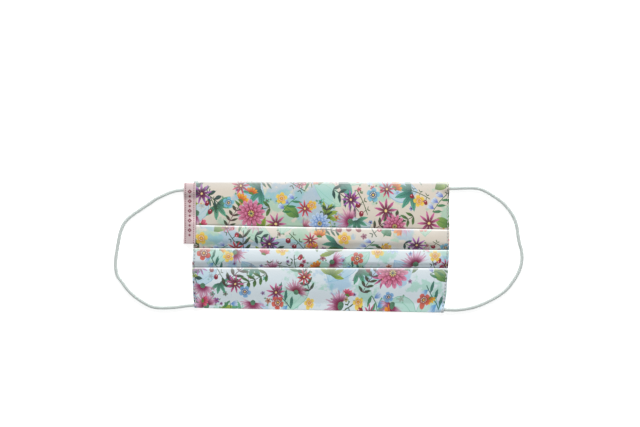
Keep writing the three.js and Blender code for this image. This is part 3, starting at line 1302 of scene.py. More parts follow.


# The repeat, listed motif by motif. Later motifs lie over earlier ones.
CHART = (
    Motif(MotifKind.WASH_LEAF, (0.26, 0.30), -15, 27, ("b4e5d3", "5fbf9f")),
    Motif(MotifKind.WASH_LEAF, (0.84, 0.16), 160, 25, ("b9dcf0", "6aa8d6")),
    Motif(MotifKind.WASH_LEAF, (0.52, 0.62), 80, 24, ("b9e6d4", "5fc0a6")),
    Motif(MotifKind.WASH_LEAF, (0.10, 0.80), 35, 26, ("bfe0ee", "6fb2d2")),
    Motif(MotifKind.TUFT, (0.60, 0.37), 90, 12, ("4f7a1e", "b5c93a")),
    Motif(MotifKind.TUFT, (0.19, 0.66), 40, 11, ("5a8424", "c2d04a")),
    Motif(MotifKind.TUFT, (0.79, 0.09), 200, 12, ("1d6a63", "6fc4a8")),
    Motif(MotifKind.TUFT, (0.38, 0.90), 310, 10, ("1f5f4f", "7ccfae")),
    Motif(MotifKind.BROAD_LEAF, (0.03, 0.22), 20, 14, ("5e8f2e", "b9c94a")),
    Motif(MotifKind.BROAD_LEAF, (0.22, 0.37), 110, 13, ("2f7f5d", "86cdaa")),
    Motif(MotifKind.BROAD_LEAF, (0.46, 0.52), -50, 14, ("1f6f6a", "6fc4b4")),
    Motif(MotifKind.BROAD_LEAF, (0.93, 0.56), 150, 13, ("3f7f3d", "a4c45c")),
    Motif(MotifKind.SPRIG, (0.33, 0.05), 62, 23, ("6a2b42", "2f6a35")),
    Motif(MotifKind.SPRIG, (0.75, 0.23), 205, 24, ("3e5b2a", "5f9440")),
    Motif(MotifKind.SPRIG, (0.30, 0.56), -28, 22, ("1f4d4b", "1f5f56")),
    Motif(MotifKind.SPRIG, (0.95, 0.72), 100, 22, ("4a3a42", "3f7a45")),
    Motif(MotifKind.SPRIG, (0.82, 0.87), 10, 20, ("22503f", "3f8a6a")),
    Motif(MotifKind.BERRIES, (0.92, 0.03), 8, 18, ("3f6a2c", "b01a3c")),
    Motif(MotifKind.BERRIES, (0.08, 0.38), 128, 18, ("2f5d3a", "c02a4a")),
    Motif(MotifKind.BERRIES, (0.50, 0.70), -40, 19, ("3f6a2c", "a81642")),
    Motif(MotifKind.BELLS, (0.31, 0.21), -70, 16, ("3f8f5e", "5f97d3")),
    Motif(MotifKind.BELLS, (0.86, 0.37), 35, 15, ("3f8f5e", "7484d0")),
    Motif(MotifKind.BELLS, (0.65, 0.73), 160, 16, ("2f7f6e", "6fb0dc")),
    Motif(MotifKind.BRUSH, (0.05, 0.05), 110, 8.5, ("8f0f56", "eda3cb")),
    Motif(MotifKind.BRUSH, (0.43, 0.38), -60, 7.5, ("9a1460", "f0a8cf")),
    Motif(MotifKind.BRUSH, (0.88, 0.60), 20, 8.0, ("8f0f4a", "e994bd")),
    Motif(MotifKind.BRUSH, (0.24, 0.86), 200, 8.5, ("a01a6a", "f3b7d6")),
    Motif(MotifKind.FAN, (0.64, 0.04), 75, 6.5, ("d4690f", "f7c22a")),
    Motif(MotifKind.FAN, (0.70, 0.99), 50, 5.5, ("c85a0f", "f2b01e")),
    Motif(MotifKind.FAN, (0.29, 0.44), 150, 6.5, ("c9540f", "f4ac1e")),
    Motif(MotifKind.FAN, (0.74, 0.53), -30, 6.0, ("cf7a12", "f8d23a")),
    Motif(MotifKind.FAN, (0.12, 0.90), 20, 6.0, ("b8204c", "ee7f9f")),
    Motif(MotifKind.STAR, (0.50, 0.07), 10, 7.8, ("7a0f44", "e07fb4")),
    Motif(MotifKind.STAR, (0.17, 0.21), 31, 5.0, ("7f0f42", "e981ae")),
    Motif(MotifKind.STAR, (0.72, 0.40), 50, 8.2, ("860f4c", "ea8cc0")),
    Motif(MotifKind.STAR, (0.03, 0.54), 5, 6.0, ("a01a33", "ee6f7a")),
    Motif(MotifKind.STAR, (0.36, 0.72), 22, 7.0, ("6f1258", "c98ad8")),
    Motif(MotifKind.STAR, (0.67, 0.87), 40, 6.5, ("8a0f36", "f07f9f")),
    Motif(MotifKind.ROUNDEL, (0.20, 0.07), 0, 4.2, ("d98f12", "f6dd6a")),
    Motif(MotifKind.ROUNDEL, (0.46, 0.23), 40, 4.4, ("1f4f8f", "8fc0e8")),
    Motif(MotifKind.ROUNDEL, (0.90, 0.20), 15, 4.4, ("d98f12", "f4d65a")),
    Motif(MotifKind.ROUNDEL, (0.15, 0.50), 70, 4.0, ("cf7f1a", "f2cf4a")),
    Motif(MotifKind.ROUNDEL, (0.61, 0.56), 25, 4.4, ("8a2238", "e0705a")),
    Motif(MotifKind.ROUNDEL, (0.80, 0.70), 55, 4.0, ("d98f12", "f6dd6a")),
    Motif(MotifKind.ROUNDEL, (0.53, 0.86), 5, 4.6, ("1f4f7f", "8fcbe0")),
    Motif(MotifKind.BLOOM, (0.60, 0.20), 12, 9.5, ("a3124f", "f0a3c3", "5a0a35")),
    Motif(MotifKind.BLOOM, (0.06, 0.70), 34, 8.5, ("6f9ede", "d9eafa", "33599f")),
)


ROUND_MOTIFS = (MotifKind.STAR, MotifKind.ROUNDEL, MotifKind.BLOOM, MotifKind.BRUSH, MotifKind.FAN)


@dataclass(frozen=True)
class FloralPrint:
    """Plain-weave cotton printed with a loose watercolour floral in a half-drop repeat.

    Lengths are in millimetres on the flat cloth.
    """

    repeat_width: float = 104.0
    repeat_height: float = 98.0
    edge: float = 0.22
    thread_pitch: float = 0.36
    kept_share: float = 0.84
    far_off: float = 500.0
    stray: float = 11.0
    free_sway: float = 60.0
    stem_sway: float = 28.0
    ink_depth: float = 1.3
    warm_ground: str = "e6ded2"
    cool_ground: str = "e4eef3"
    mint_wash: str = "93d8bd"
    sky_wash: str = "8fc4e4"
    # Painted highlights: a bright line on each lip and a broader pale band leading up to it
    lip_highlight: float = 0.45
    broad_lip_highlight: float = 0.22
    # Painted shade: a dark line where the cloth comes out from under each lip and a broader grey band beyond
    # it
    tuck_shade: float = 0.55
    broad_tuck_shade: float = 0.04
    stitch_pitch: float = 2.4
    # White, for random paler patches of the print and for the painted highlights
    pale_and_highlight_ink: str = "ffffff"
    weave_shade: str = "6f757c"
    # Colour of the painted shade above the tucks
    fold_shade: str = "59646d"
    # Colour of the painted shade along the side seams
    seam_shade: str = "6a7078"

    def material(
        self, layer: str, lips: list[float], tucks: list[float], seams: list[float]
    ) -> bpy.types.Material:
        """Builds the printed front's material.

        Args:
            layer: The UV layer that holds the place on the flat cloth.
            lips: Where the cloth turns over a lip or ends above, in millimetres from its lower edge.
            tucks: Where the cloth goes in below a lip, in the same way.
            seams: Where the two side seams are, in millimetres from the left edge.

        Returns:
            The material.
        """
        paint = Paint("printed_cotton_front")
        place = paint.flat_place(layer)
        wobble = paint.noise(place, 0.55, 2.0)
        bent = place.added(paint.joined((wobble - 0.5) * 0.9, (wobble - 0.5) * -0.7))
        print_colour = self.ground(paint, bent)
        print_colour = self.small_flowers(paint, bent, print_colour)
        lattice = self.lattice(paint, bent)
        stencils = {kind: self.stencil(kind) for kind in MotifKind}
        for number, motif in enumerate(CHART):
            stencil = stencils[motif.kind]
            print_colour, lattice = self.stamp(paint, stencil, print_colour, lattice, motif, number)
        print_colour = paint.node("ShaderNodeGamma", {}, {"Color": print_colour, "Gamma": self.ink_depth})
        grain = paint.noise(place, 1.6, 4.0, 0.65)
        print_colour = paint.mix((grain - 0.45) * 0.3, print_colour, colour(self.pale_and_highlight_ink))
        weave = plain_weave(place, self.thread_pitch)
        shade = paint.mix(weave * 0.10, print_colour, colour(self.weave_shade), "MULTIPLY")
        # Painted highlights on the lips, painted shade above the tucks and along the seams
        shade = self.painted_fold_light(paint, place, shade, lips, tucks, seams)
        paint.finish(shade, 0.88, weave + grain * 0.6, 0.05 * MM, Sheen_Weight=0.12, Sheen_Roughness=0.6)
        return paint.material

    def painted_fold_light(
        self,
        paint: Paint,
        place: Arrow,
        base: Wire,
        lips: list[float],
        tucks: list[float],
        seams: list[float],
    ) -> Wire:
        """Paints highlights on the lips and just below the upper edge, and paints shade above the tucks and
        along the seams.

        Args:
            paint: The material's tree.
            place: The place on the flat cloth.
            base: The print.
            lips: Where the cloth turns over a lip or ends above.
            tucks: Where the cloth goes in below a lip.
            seams: Where the two side seams are, from the left edge.

        Returns:
            The changed print.
        """
        across, up, _ = place.split()
        # Painted highlight on each lip and just below the upper edge, lighter than the print there
        for lip in lips:
            past = up - lip
            painted_highlight = past.ramp(-7.0, 0.0) * past.ramp(1.2, 0.6) * self.broad_lip_highlight
            painted_highlight = painted_highlight + abs(past).ramp(0.85, 0.15) * self.lip_highlight
            base = paint.mix(painted_highlight, base, colour(self.pale_and_highlight_ink))
        # Painted shade where the cloth comes out from under each lip, darkest at the lip
        for tuck in tucks:
            past = up - tuck
            shaded = past.ramp(1.6, 0.1) * self.tuck_shade + past.ramp(9.0, 0.5) * self.broad_tuck_shade
            shaded = shaded * past.ramp(-2.5, -2.0)
            base = paint.mix(shaded, base, colour(self.fold_shade), "MULTIPLY")
        # Painted shade along each side seam, darker at every stitch, for the shade in the stitch dimples
        for seam in seams:
            holes = (up * (1 / self.stitch_pitch)).part().ramp(0.30, 0.12)
            seam_shade_share = abs(across - seam).ramp(0.75, 0.25) * (0.35 + holes * 0.5)
            seam_shade_share = seam_shade_share * (up - lips[-1]).ramp(-0.2, -1.0)
            base = paint.mix(seam_shade_share, base, colour(self.seam_shade), "MULTIPLY")
        return base

    def lattice(self, paint: Paint, place: Arrow) -> Arrow:
        """Counts the repeats along the two slanting sides of the half-drop cell.

        Args:
            paint: The material's tree.
            place: The place on the flat cloth.

        Returns:
            The count of repeats along each of the two sides.
        """
        scale = (1 / self.repeat_width, 1 / self.repeat_height, 1.0)
        made = paint.node("ShaderNodeMapping", {}, {"Vector": place, "Scale": scale})
        along, rise, _ = Arrow(paint, made.socket).split()
        return paint.joined(along + rise, along - rise)

    def stencil(self, kind: MotifKind) -> Stencil:
        """Draws one kind of motif as a node group, at the place and in the inks that it is given.

        Args:
            kind: The motif.

        Returns:
            The node group.
        """
        drawers = {
            MotifKind.BLOOM: self.bloom,
            MotifKind.STAR: self.star,
            MotifKind.FAN: self.fan,
            MotifKind.SPRIG: self.sprig,
            MotifKind.BERRIES: self.berries,
            MotifKind.BELLS: self.bells,
            MotifKind.BROAD_LEAF: self.broad_leaf,
            MotifKind.ROUNDEL: self.roundel,
            MotifKind.BRUSH: self.brush,
            MotifKind.WASH_LEAF: self.wash_leaf,
            MotifKind.TUFT: self.tuft,
        }
        inputs = {"Base": "NodeSocketColor", "Cell": "NodeSocketVector", "Spot": "NodeSocketVector"}
        inputs |= {"Turn": "NodeSocketFloat", "Size": "NodeSocketFloat"}
        inputs |= {f"Ink {number}": "NodeSocketColor" for number in (1, 2, 3)}
        made = Stencil(f"motif_{kind.name.lower()}", inputs)
        sway = math.radians(self.free_sway if kind in ROUND_MOTIFS else self.stem_sway)
        across, up = self.local(made, sway)
        inks = tuple(made.given(f"Ink {number}") for number in (1, 2, 3))
        canvas = Canvas(made, made.given("Base"), across, up, made.given("Size"), inks)
        made.close(drawers[kind](canvas))
        return made

    def stamp(
        self, paint: Paint, stencil: Stencil, base: Wire, lattice: Wire, motif: Motif, number: int
    ) -> tuple[Wire, Wire]:
        """Lays one charted motif over the print.

        Args:
            paint: The material's tree.
            stencil: The motif's node group.
            base: The print so far.
            lattice: The cell that the motif before it hands on.
            motif: The charted motif.
            number: Its number in the chart, which seeds its chance.

        Returns:
            The print with the motif, and the cell for the next one.
        """
        inputs = {"Base": base, "Cell": lattice, "Spot": (*motif.place, -0.5 - number)}
        inputs |= {"Turn": math.radians(motif.turn), "Size": motif.size}
        for place, ink in enumerate(motif.inks, start=1):
            inputs[f"Ink {place}"] = colour(ink)
        made = paint.node("ShaderNodeGroup", {"node_tree": stencil.tree}, inputs, output="Colour")
        return made, Wire(paint, made.socket.node.outputs["Cell"])

    def local(self, stencil: Stencil, sway: float) -> tuple[Wire, Wire]:
        """Gives the place in a motif's own axes, in millimetres.

        Chance turns, moves and scales the motif a little in each repeat, and leaves some of them out.

        Args:
            stencil: The motif's node group.
            sway: How far chance may turn the motif to either side.

        Returns:
            The place along the motif's own X and along its own Y.
        """
        away = stencil.arrow("SUBTRACT", stencil.given("Cell"), stencil.given("Spot"))
        offset = away.wrapped((-0.5, -0.5, -0.5), (0.5, 0.5, 0.5))
        cell = stencil.arrow("FLOOR", away.added((0.5, 0.5, 0.0)))
        chance = (cell.dot((12.9898, 78.233, 37.719)).sine() * 43758.5).part()
        other = (chance * 137.3).part()
        third = (chance * 731.9).part()
        turn = (chance - 0.5) * (2 * sway) + stencil.given("Turn")
        cos_turn, sin_turn = turn.cosine(), turn.sine()
        half_across, half_up = self.repeat_width / 2, self.repeat_height / 2
        across = offset.dot((half_across, half_across, 0.0)) + (other - 0.5) * self.stray
        up = offset.dot((half_up, -half_up, 0.0)) + (third - 0.5) * self.stray
        up = up + (other > self.kept_share) * self.far_off
        scale = 0.86 + third * 0.34
        return (across * cos_turn + up * sin_turn) * scale, (up * cos_turn - across * sin_turn) * scale

    def ground(self, paint: Paint, place: Arrow) -> Wire:
        """Paints the pale ground with its watercolour washes.

        Args:
            paint: The material's tree.
            place: The place on the flat cloth.

        Returns:
            The colour of the ground.
        """
        _, up, _ = place.split()
        broad = paint.noise(place, 0.022, 3.0, 0.55)
        level = (up + broad * 70 - 35).ramp(62.0, 92.0)
        ground = paint.mix(level, colour(self.cool_ground), colour(self.warm_ground))
        washes = ((self.mint_wash, (31.0, 7.0, 0.0), 0.034), (self.sky_wash, (90.0, 55.0, 3.0), 0.030))
        for ink, seed, scale in washes:
            blot = paint.noise(place.added(seed), scale, 5.0, 0.6)
            body = blot.ramp(0.56, 0.66) * 0.55
            rim = blot.ramp(0.55, 0.585) * blot.ramp(0.64, 0.59) * 0.35
            ground = paint.mix(body + rim, ground, colour(ink))
        return ground

    def small_flowers(self, paint: Paint, place: Arrow, base: Wire) -> Wire:
        """Scatters small five-petalled flowers and leaf ticks between the charted motifs.

        Args:
            paint: The material's tree.
            place: The place on the flat cloth.
            base: The print so far.

        Returns:
            The print with the small flowers.
        """
        scale = 1 / 9.5
        made = paint.node(
            "ShaderNodeTexVoronoi",
            {"voronoi_dimensions": "2D", "feature": "F1"},
            {"Vector": place, "Scale": scale, "Randomness": 0.72},
            output="Position",
        )
        across, up, _ = paint.arrow("SUBTRACT", place, made).split()
        kind = Arrow(paint, made.socket.node.outputs["Color"]).split()
        distance = (across * across + up * up) ** 0.5
        angle = up.bearing(across) * (5 / (2 * math.pi)) + kind[1] * 5
        lobe = self.lobes(angle)
        radius = 1.25 + kind[0] * 1.1
        outline = radius * (1 - lobe * lobe * 0.55)
        flower = self.petals(distance, outline)
        shown = kind[2] > 0.48
        ink = paint.node(
            "ShaderNodeValToRGB",
            {"stops": [
                (0.0, colour("c02f5f")),
                (0.25, colour("6fa7dc")),
                (0.45, colour("d8506c")),
                (0.62, colour("4fb094")),
                (0.8, colour("eeb43a")),
                (1.0, colour("8a55a4")),
            ]},
            {0: kind[0]},
        )
        ticks = abs((angle * 0.6).part() - 0.5).ramp(0.14, 0.06) * distance.ramp(3.6, 3.3)
        ticks = ticks * distance.ramp(1.9, 2.3) * (kind[1] > 0.45)
        painted = paint.mix(ticks * shown * 0.8, base, colour("5c9a6c"))
        painted = paint.mix(flower * shown * 0.92, painted, ink)
        return paint.mix(distance.ramp(0.62, 0.42) * shown, painted, colour("7d2f4c"))

    @staticmethod
    def polar(across: Wire, up: Wire) -> tuple[Wire, Wire]:
        """Gives the distance from a motif's middle and the angle in whole turns."""
        return (across * across + up * up) ** 0.5, up.bearing(across) * (1 / (2 * math.pi))

    @staticmethod
    def lobes(turns: Wire) -> Wire:
        """Gives 0 on the middle line of a petal and 1 between two petals, one petal a turn."""
        return abs(turns.part() - 0.5) * 2

    @staticmethod
    def blade(share: Wire, length: Wire, fullness: float) -> Wire:
        """Gives half of a leaf's width at a share of its length."""
        return share * (1 - share) * length * fullness

    @staticmethod
    def on_stem(across: Wire, size: Wire, ease: float) -> Wire:
        """Gives 1 between the two ends of a stem."""
        return abs(across - size / 2).ramp(size / 2 + 0.1, size / 2 - ease)

    def petals(self, distance: Wire, outline: Wire) -> Wire:
        """Gives 1 inside the outline of the petals."""
        return distance.ramp(outline + self.edge, outline - self.edge)

    def bloom(self, canvas: Canvas) -> Wire:
        """Paints a large flower with three rings of petals.

        Args:
            canvas: What the motif is drawn on and with.

        Returns:
            The print with the motif.
        """
        paint, base, across, up, size, inks = canvas
        distance, angle = self.polar(across, up)
        middle, outer, dark = inks
        for reach, count, start in ((1.0, 13, 0.0), (0.74, 11, 0.4), (0.46, 8, 0.1)):
            lobe = self.lobes(angle * count + start)
            radius = size * reach
            outline = radius * (1 - lobe ** 2.2 * 0.34)
            petal = self.petals(distance, outline)
            tone = (distance / radius).ramp(0.38, 1.02)
            ink = paint.mix(tone, middle, outer)
            ink = paint.mix(lobe.ramp(0.62, 1.0) * 0.65, ink, dark)
            vein = lobe.ramp(0.16, 0.04) * 0.25
            ink = paint.mix(vein, ink, dark)
            base = paint.mix(petal * 0.96, base, ink)
        seeds = (angle * 9).part()
        dots = abs(seeds - 0.5).ramp(0.32, 0.18) * abs(distance - size * 0.14).ramp(0.9, 0.5)
        base = paint.mix(distance.ramp(size * 0.2, size * 0.17), base, colour("3b5a66"))
        return paint.mix(dots, base, colour("f3dc82"))

    def star(self, canvas: Canvas) -> Wire:
        """Paints a flower of slender pointed petals with a dark throat.

        Args:
            canvas: What the motif is drawn on and with.

        Returns:
            The print with the motif.
        """
        paint, base, across, up, size, inks = canvas
        distance, angle = self.polar(across, up)
        throat, tip, _ = inks
        lobe = self.lobes(angle * 9)
        outline = size * (1 - lobe * 0.78)
        petal = self.petals(distance, outline)
        ink = paint.mix((distance / size).ramp(0.18, 0.85), throat, tip)
        ink = paint.mix(lobe.ramp(0.14, 0.02) * 0.5, ink, throat)
        base = paint.mix(petal * 0.95, base, ink)
        return paint.mix(distance.ramp(size * 0.13, size * 0.09), base, colour("f6e3a0"))

    def fan(self, canvas: Canvas) -> Wire:
        """Paints a half-open flower seen from its side, with a green cup.

        Args:
            canvas: What the motif is drawn on and with.

        Returns:
            The print with the motif.
        """
        paint, base, across, up, size, inks = canvas
        distance, angle = self.polar(across, up)
        shade, light, _ = inks
        lobe = self.lobes(angle * 14)
        outline = size * (1 - lobe * lobe * 0.22)
        petal = self.petals(distance, outline) * abs(angle).ramp(0.172, 0.16)
        ink = paint.mix((distance / size).ramp(0.25, 0.95), shade, light)
        ink = paint.mix(lobe.ramp(0.55, 1.0) * 0.8, ink, shade)
        base = paint.mix(petal * 0.96, base, ink)
        cup = distance.ramp(size * 0.36, size * 0.31) * abs(angle).ramp(0.24, 0.22)
        return paint.mix(cup, base, colour("6d9440"))

    def sprig(self, canvas: Canvas) -> Wire:
        """Paints a bent stem with pairs of slender leaves.

        Args:
            canvas: What the motif is drawn on and with.

        Returns:
            The print with the motif.
        """
        paint, base, across, up, size, inks = canvas
        stem, leaf, _ = inks
        pitch = size / 5
        bent = up + across * across * 0.22 / size
        inside = self.on_stem(across, size, 0.3)
        step = across / pitch
        forward = step.part() * pitch
        side = abs(bent)
        along = forward * 0.60 + side * 0.80
        over = forward * 0.80 - side * 0.60
        share = (along / (pitch * 1.42)).clamped()
        width = self.blade(share, pitch, 0.95)
        blade = abs(over).ramp(width + 0.14, width - 0.14) * inside
        blade = blade * share.ramp(0.02, 0.08)
        ink = paint.mix(share, stem, leaf)
        base = paint.mix(blade * 0.95, base, ink)
        line = abs(bent).ramp(0.34, 0.16) * inside
        return paint.mix(line, base, stem)

    def berries(self, canvas: Canvas) -> Wire:
        """Paints a stem with berries that hang from it on short stalks.

        Args:
            canvas: What the motif is drawn on and with.

        Returns:
            The print with the motif.
        """
        paint, base, across, up, size, inks = canvas
        leaf, fruit, _ = inks
        pitch = size / 3
        bent = up + across * across * 0.16 / size
        inside = self.on_stem(across, size, 0.2)
        place = (across / pitch).part() * pitch - pitch / 2
        stalk = abs(place).ramp(0.32, 0.14) * bent.ramp(-3.4, -3.2) * bent.ramp(0.1, -0.1) * inside
        base = paint.mix(stalk, base, leaf)
        base = paint.mix(abs(bent).ramp(0.38, 0.18) * inside, base, leaf)
        drop = bent + 4.3
        distance = (place * place + drop * drop) ** 0.5
        radius = pitch * 0.29
        ball = distance.ramp(radius + 0.15, radius - 0.15) * inside
        ink = paint.mix((place - drop).ramp(-1.6, 1.8) * 0.5, fruit, colour("7c1236"))
        base = paint.mix(ball, base, ink)
        shine = ((place + 0.55) * (place + 0.55) + (drop - 0.6) * (drop - 0.6)).ramp(0.28, 0.10) * inside
        base = paint.mix(shine * 0.85, base, colour("fbe3e4"))
        tick_over = abs(bent - 1.2 - abs(place) * 0.8).ramp(0.5, 0.25) * abs(place).ramp(1.7, 1.4)
        return paint.mix(tick_over * inside, base, leaf)

    def bells(self, canvas: Canvas) -> Wire:
        """Paints a stem with a row of bell flowers on one side and leaves on the other.

        Args:
            canvas: What the motif is drawn on and with.

        Returns:
            The print with the motif.
        """
        paint, base, across, up, size, inks = canvas
        stem, bell, _ = inks
        pitch = size / 3
        bent = up + across * across * 0.2 / size
        inside = self.on_stem(across, size, 0.2)
        place = (across / pitch).part() * pitch - pitch / 2
        rise = bent / (pitch * 1.1)
        hem = 1 - abs((place * 4 / pitch).part() - 0.5) * 0.24
        width = (rise.ramp(0.0, 0.5) * 0.26 + rise.most(0.0) * 0.12) * pitch
        cup = abs(place).ramp(width + 0.14, width - 0.14) * (hem - rise).ramp(-0.04, 0.04)
        cup = cup * rise.ramp(0.0, 0.06)
        ink = paint.mix(rise.ramp(0.1, 1.0), bell, colour("dcebf8"))
        ink = paint.mix(abs(place).ramp(0.28, 0.08) * 0.4, ink, colour("5f7fc4"))
        base = paint.mix(cup * inside * 0.95, base, ink)
        side = (bent * -1).most(0.0)
        forward = place + pitch / 2
        share = ((forward * 0.6 + side * 0.8) / (pitch * 1.3)).clamped()
        blade_width = self.blade(share, pitch, 0.8)
        blade = abs(forward * 0.8 - side * 0.6).ramp(blade_width + 0.14, blade_width - 0.14)
        base = paint.mix(blade * share.ramp(0.02, 0.08) * inside * (side > 0.0) * 0.9, base, stem)
        return paint.mix(abs(bent).ramp(0.36, 0.16) * inside, base, stem)

    def brush(self, canvas: Canvas) -> Wire:
        """Paints a thistle-like flower of fine brush strokes round half of a green head.

        Args:
            canvas: What the motif is drawn on and with.

        Returns:
            The print with the motif.
        """
        paint, base, across, up, size, inks = canvas
        distance, angle = self.polar(across, up)
        core, tip, _ = inks
        stroke = (angle * 145 + distance * 0.5).sine() + (angle * 231 - distance * 0.3).sine()
        stroke = stroke * 0.16 + (angle * 79).sine() * 0.14 + 0.5
        outline = size * (0.55 + stroke * 0.85)
        petal = distance.ramp(outline + 0.9, outline - 0.9) * abs(angle).ramp(0.30, 0.24)
        reach = (distance / size).ramp(0.25, 0.95)
        ink = paint.mix(reach, core, tip)
        ink = paint.mix(stroke.ramp(0.5, 0.62) * 0.45, ink, core)
        base = paint.mix(petal * (1 - reach * 0.35), base, ink)
        head = distance.ramp(size * 0.26, size * 0.22)
        return paint.mix(head, base, paint.mix(stroke.ramp(0.4, 0.6), colour("7fae8b"), colour("3f6f5c")))

    def wash_leaf(self, canvas: Canvas) -> Wire:
        """Paints a pale curved leaf in thin watercolour, darker at its rim.

        Args:
            canvas: What the motif is drawn on and with.

        Returns:
            The print with the motif.
        """
        paint, base, across, up, size, inks = canvas
        wash, rim_ink, _ = inks
        bent = up + across * across * 0.35 / size
        share = (across / size).clamped()
        width = self.blade(share, size, 1.3)
        inset = width - abs(bent)
        base = paint.mix(inset.ramp(0.0, 0.3) * 0.62, base, wash)
        rim = inset.ramp(0.0, 0.25) * inset.ramp(0.9, 0.35)
        base = paint.mix(rim * 0.5, base, rim_ink)
        vein = abs(abs(bent) - width * 0.45).ramp(0.28, 0.1) * inset.ramp(0.0, 0.4)
        return paint.mix(vein * 0.35, base, rim_ink)

    def tuft(self, canvas: Canvas) -> Wire:
        """Paints five pointed leaves that spread from one foot.

        Args:
            canvas: What the motif is drawn on and with.

        Returns:
            The print with the motif.
        """
        paint, base, across, up, size, inks = canvas
        distance, angle = self.polar(across, up)
        dark, light, _ = inks
        count = 9
        over = abs((angle * count + 0.5).part() - 0.5) * distance * (2 * math.pi / count)
        share = (distance / size).clamped()
        width = self.blade(share, size, 0.62)
        leaf = over.ramp(width + 0.16, width - 0.16) * abs(angle).ramp(0.29, 0.27) * (width > 0.05)
        ink = paint.mix(share, dark, light)
        ink = paint.mix(abs(((distance - over) * 0.7).part() - 0.5).ramp(0.14, 0.02) * 0.4, ink, dark)
        ink = paint.mix(over.ramp(0.26, 0.08) * 0.75, ink, dark)
        return paint.mix(leaf * 0.94, base, ink)

    def broad_leaf(self, canvas: Canvas) -> Wire:
        """Paints a broad leaf with a midrib and slanting veins.

        Args:
            canvas: What the motif is drawn on and with.

        Returns:
            The print with the motif.
        """
        paint, base, across, up, size, inks = canvas
        dark, light, _ = inks
        share = (across / size).clamped()
        width = self.blade(share, size, 1.15)
        leaf = abs(up).ramp(width + 0.16, width - 0.16) * (width > 0.05)
        ink = paint.mix(share, dark, light)
        veins = abs(((across - abs(up)) * 0.62).part() - 0.5).ramp(0.12, 0.02) * 0.35
        ink = paint.mix(veins, ink, dark)
        ink = paint.mix(abs(up).ramp(0.3, 0.1) * 0.7, ink, dark)
        return paint.mix(leaf * 0.94, base, ink)

    def roundel(self, canvas: Canvas) -> Wire:
        """Paints a small open flower of five round petals with a dotted ring.

        Args:
            canvas: What the motif is drawn on and with.

        Returns:
            The print with the motif.
        """
        paint, base, across, up, size, inks = canvas
        distance, angle = self.polar(across, up)
        middle, petal_ink, _ = inks
        lobe = self.lobes(angle * 5)
        outline = size * (1 - lobe ** 3.0 * 0.45)
        petal = self.petals(distance, outline)
        ink = paint.mix((distance / size).ramp(0.2, 0.8), middle, petal_ink)
        base = paint.mix(petal * 0.92, base, ink)
        dots = abs((angle * 10).part() - 0.5).ramp(0.3, 0.15)
        dots = dots * abs(distance - size * 0.36).ramp(0.42, 0.2)
        base = paint.mix(dots, base, colour("fbf6e4"))
        return paint.mix(distance.ramp(size * 0.17, size * 0.12), base, colour("f4d06a"))


@dataclass(frozen=True)
class PlainReverse:
    """The cloth's plain pale back."""

    cloth_ink: str = "ece9e2"
    slub_ink: str = "cfcabf"
    weave_shade: str = "8f8c86"
    thread_pitch: float = 0.36

    def material(self, layer: str) -> bpy.types.Material:
        """Builds the back's material.

        Args:
            layer: The UV layer that holds the place on the flat cloth.

        Returns:
            The material.
        """
        paint = Paint("plain_cotton_back")
        place = paint.flat_place(layer)
        weave = plain_weave(place, self.thread_pitch)
        slub = paint.noise(place, 0.5, 4.0, 0.6)
        shade = paint.mix(slub * 0.22, colour(self.cloth_ink), colour(self.slub_ink))
        shade = paint.mix(weave * 0.12, shade, colour(self.weave_shade), "MULTIPLY")
        paint.finish(shade, 0.92, weave + slub * 0.8, 0.05 * MM, Sheen_Weight=0.12, Sheen_Roughness=0.6)
        return paint.material


@dataclass(frozen=True)
class WovenRibbon:
    """Dusty pink ribbon with fine ribs, a dashed line along each edge and a row of small woven lozenges."""

    body: str = "d8c4c6"
    rib_ink: str = "c7adac"
    ink: str = "7e1c3c"
    rib_pitch: float = 0.42
    warp_pitch: float = 0.3
    line_inset: float = 1.35
    dash_pitch: float = 1.3
    motif_pitch: float = 3.4
    motif_margin: float = 4.4

    def material(self, layer: str, length: float, width: float) -> bpy.types.Material:
        """Builds the ribbon's material.

        Args:
            layer: The UV layer that holds the place on the flat ribbon.
            length: The ribbon's length in metres.
            width: The ribbon's width in metres.

        Returns:
            The material.
        """
        paint = Paint("woven_ribbon")
        place = paint.flat_place(layer)
        across, up, _ = place.split()
        ribs = 0.5 + (up * (2 * math.pi / self.rib_pitch)).sine() * 0.5
        warp = 0.5 + (across * (2 * math.pi / self.warp_pitch)).sine() * 0.5
        body = paint.mix(ribs * 0.35, colour(self.body), colour(self.rib_ink))
        dash = (up * (1 / self.dash_pitch)).part().ramp(0.38, 0.46)
        span = width / MM
        line = abs(abs(across - span / 2) - (span / 2 - self.line_inset)).ramp(0.40, 0.26)
        body = paint.mix(dash * line * 0.85, body, colour(self.ink))
        tall = length / MM
        within = abs(up - tall / 2).ramp(tall / 2 - self.motif_margin, tall / 2 - self.motif_margin - 0.1)
        number = (up - self.motif_margin) * (1 / self.motif_pitch)
        rise = (number.part() - 0.5) * self.motif_pitch
        odd = (number * 0.5).part() > 0.5
        lozenge = (abs(rise) + abs(across - span / 2)).ramp(1.72, 1.52)
        eye = (abs(rise) + abs(across - span / 2)).ramp(0.40, 0.55)
        dot = (rise * rise + (across - span / 2) * (across - span / 2)).ramp(0.80, 0.58)
        mark = lozenge * eye * odd + dot * (1 - odd)
        body = paint.mix(mark * within * 0.9, body, colour(self.ink))
        paint.finish(body, 0.7, ribs * 0.7 + warp * 0.3, 0.07 * MM, Sheen_Weight=0.2, Sheen_Roughness=0.4)
        return paint.material


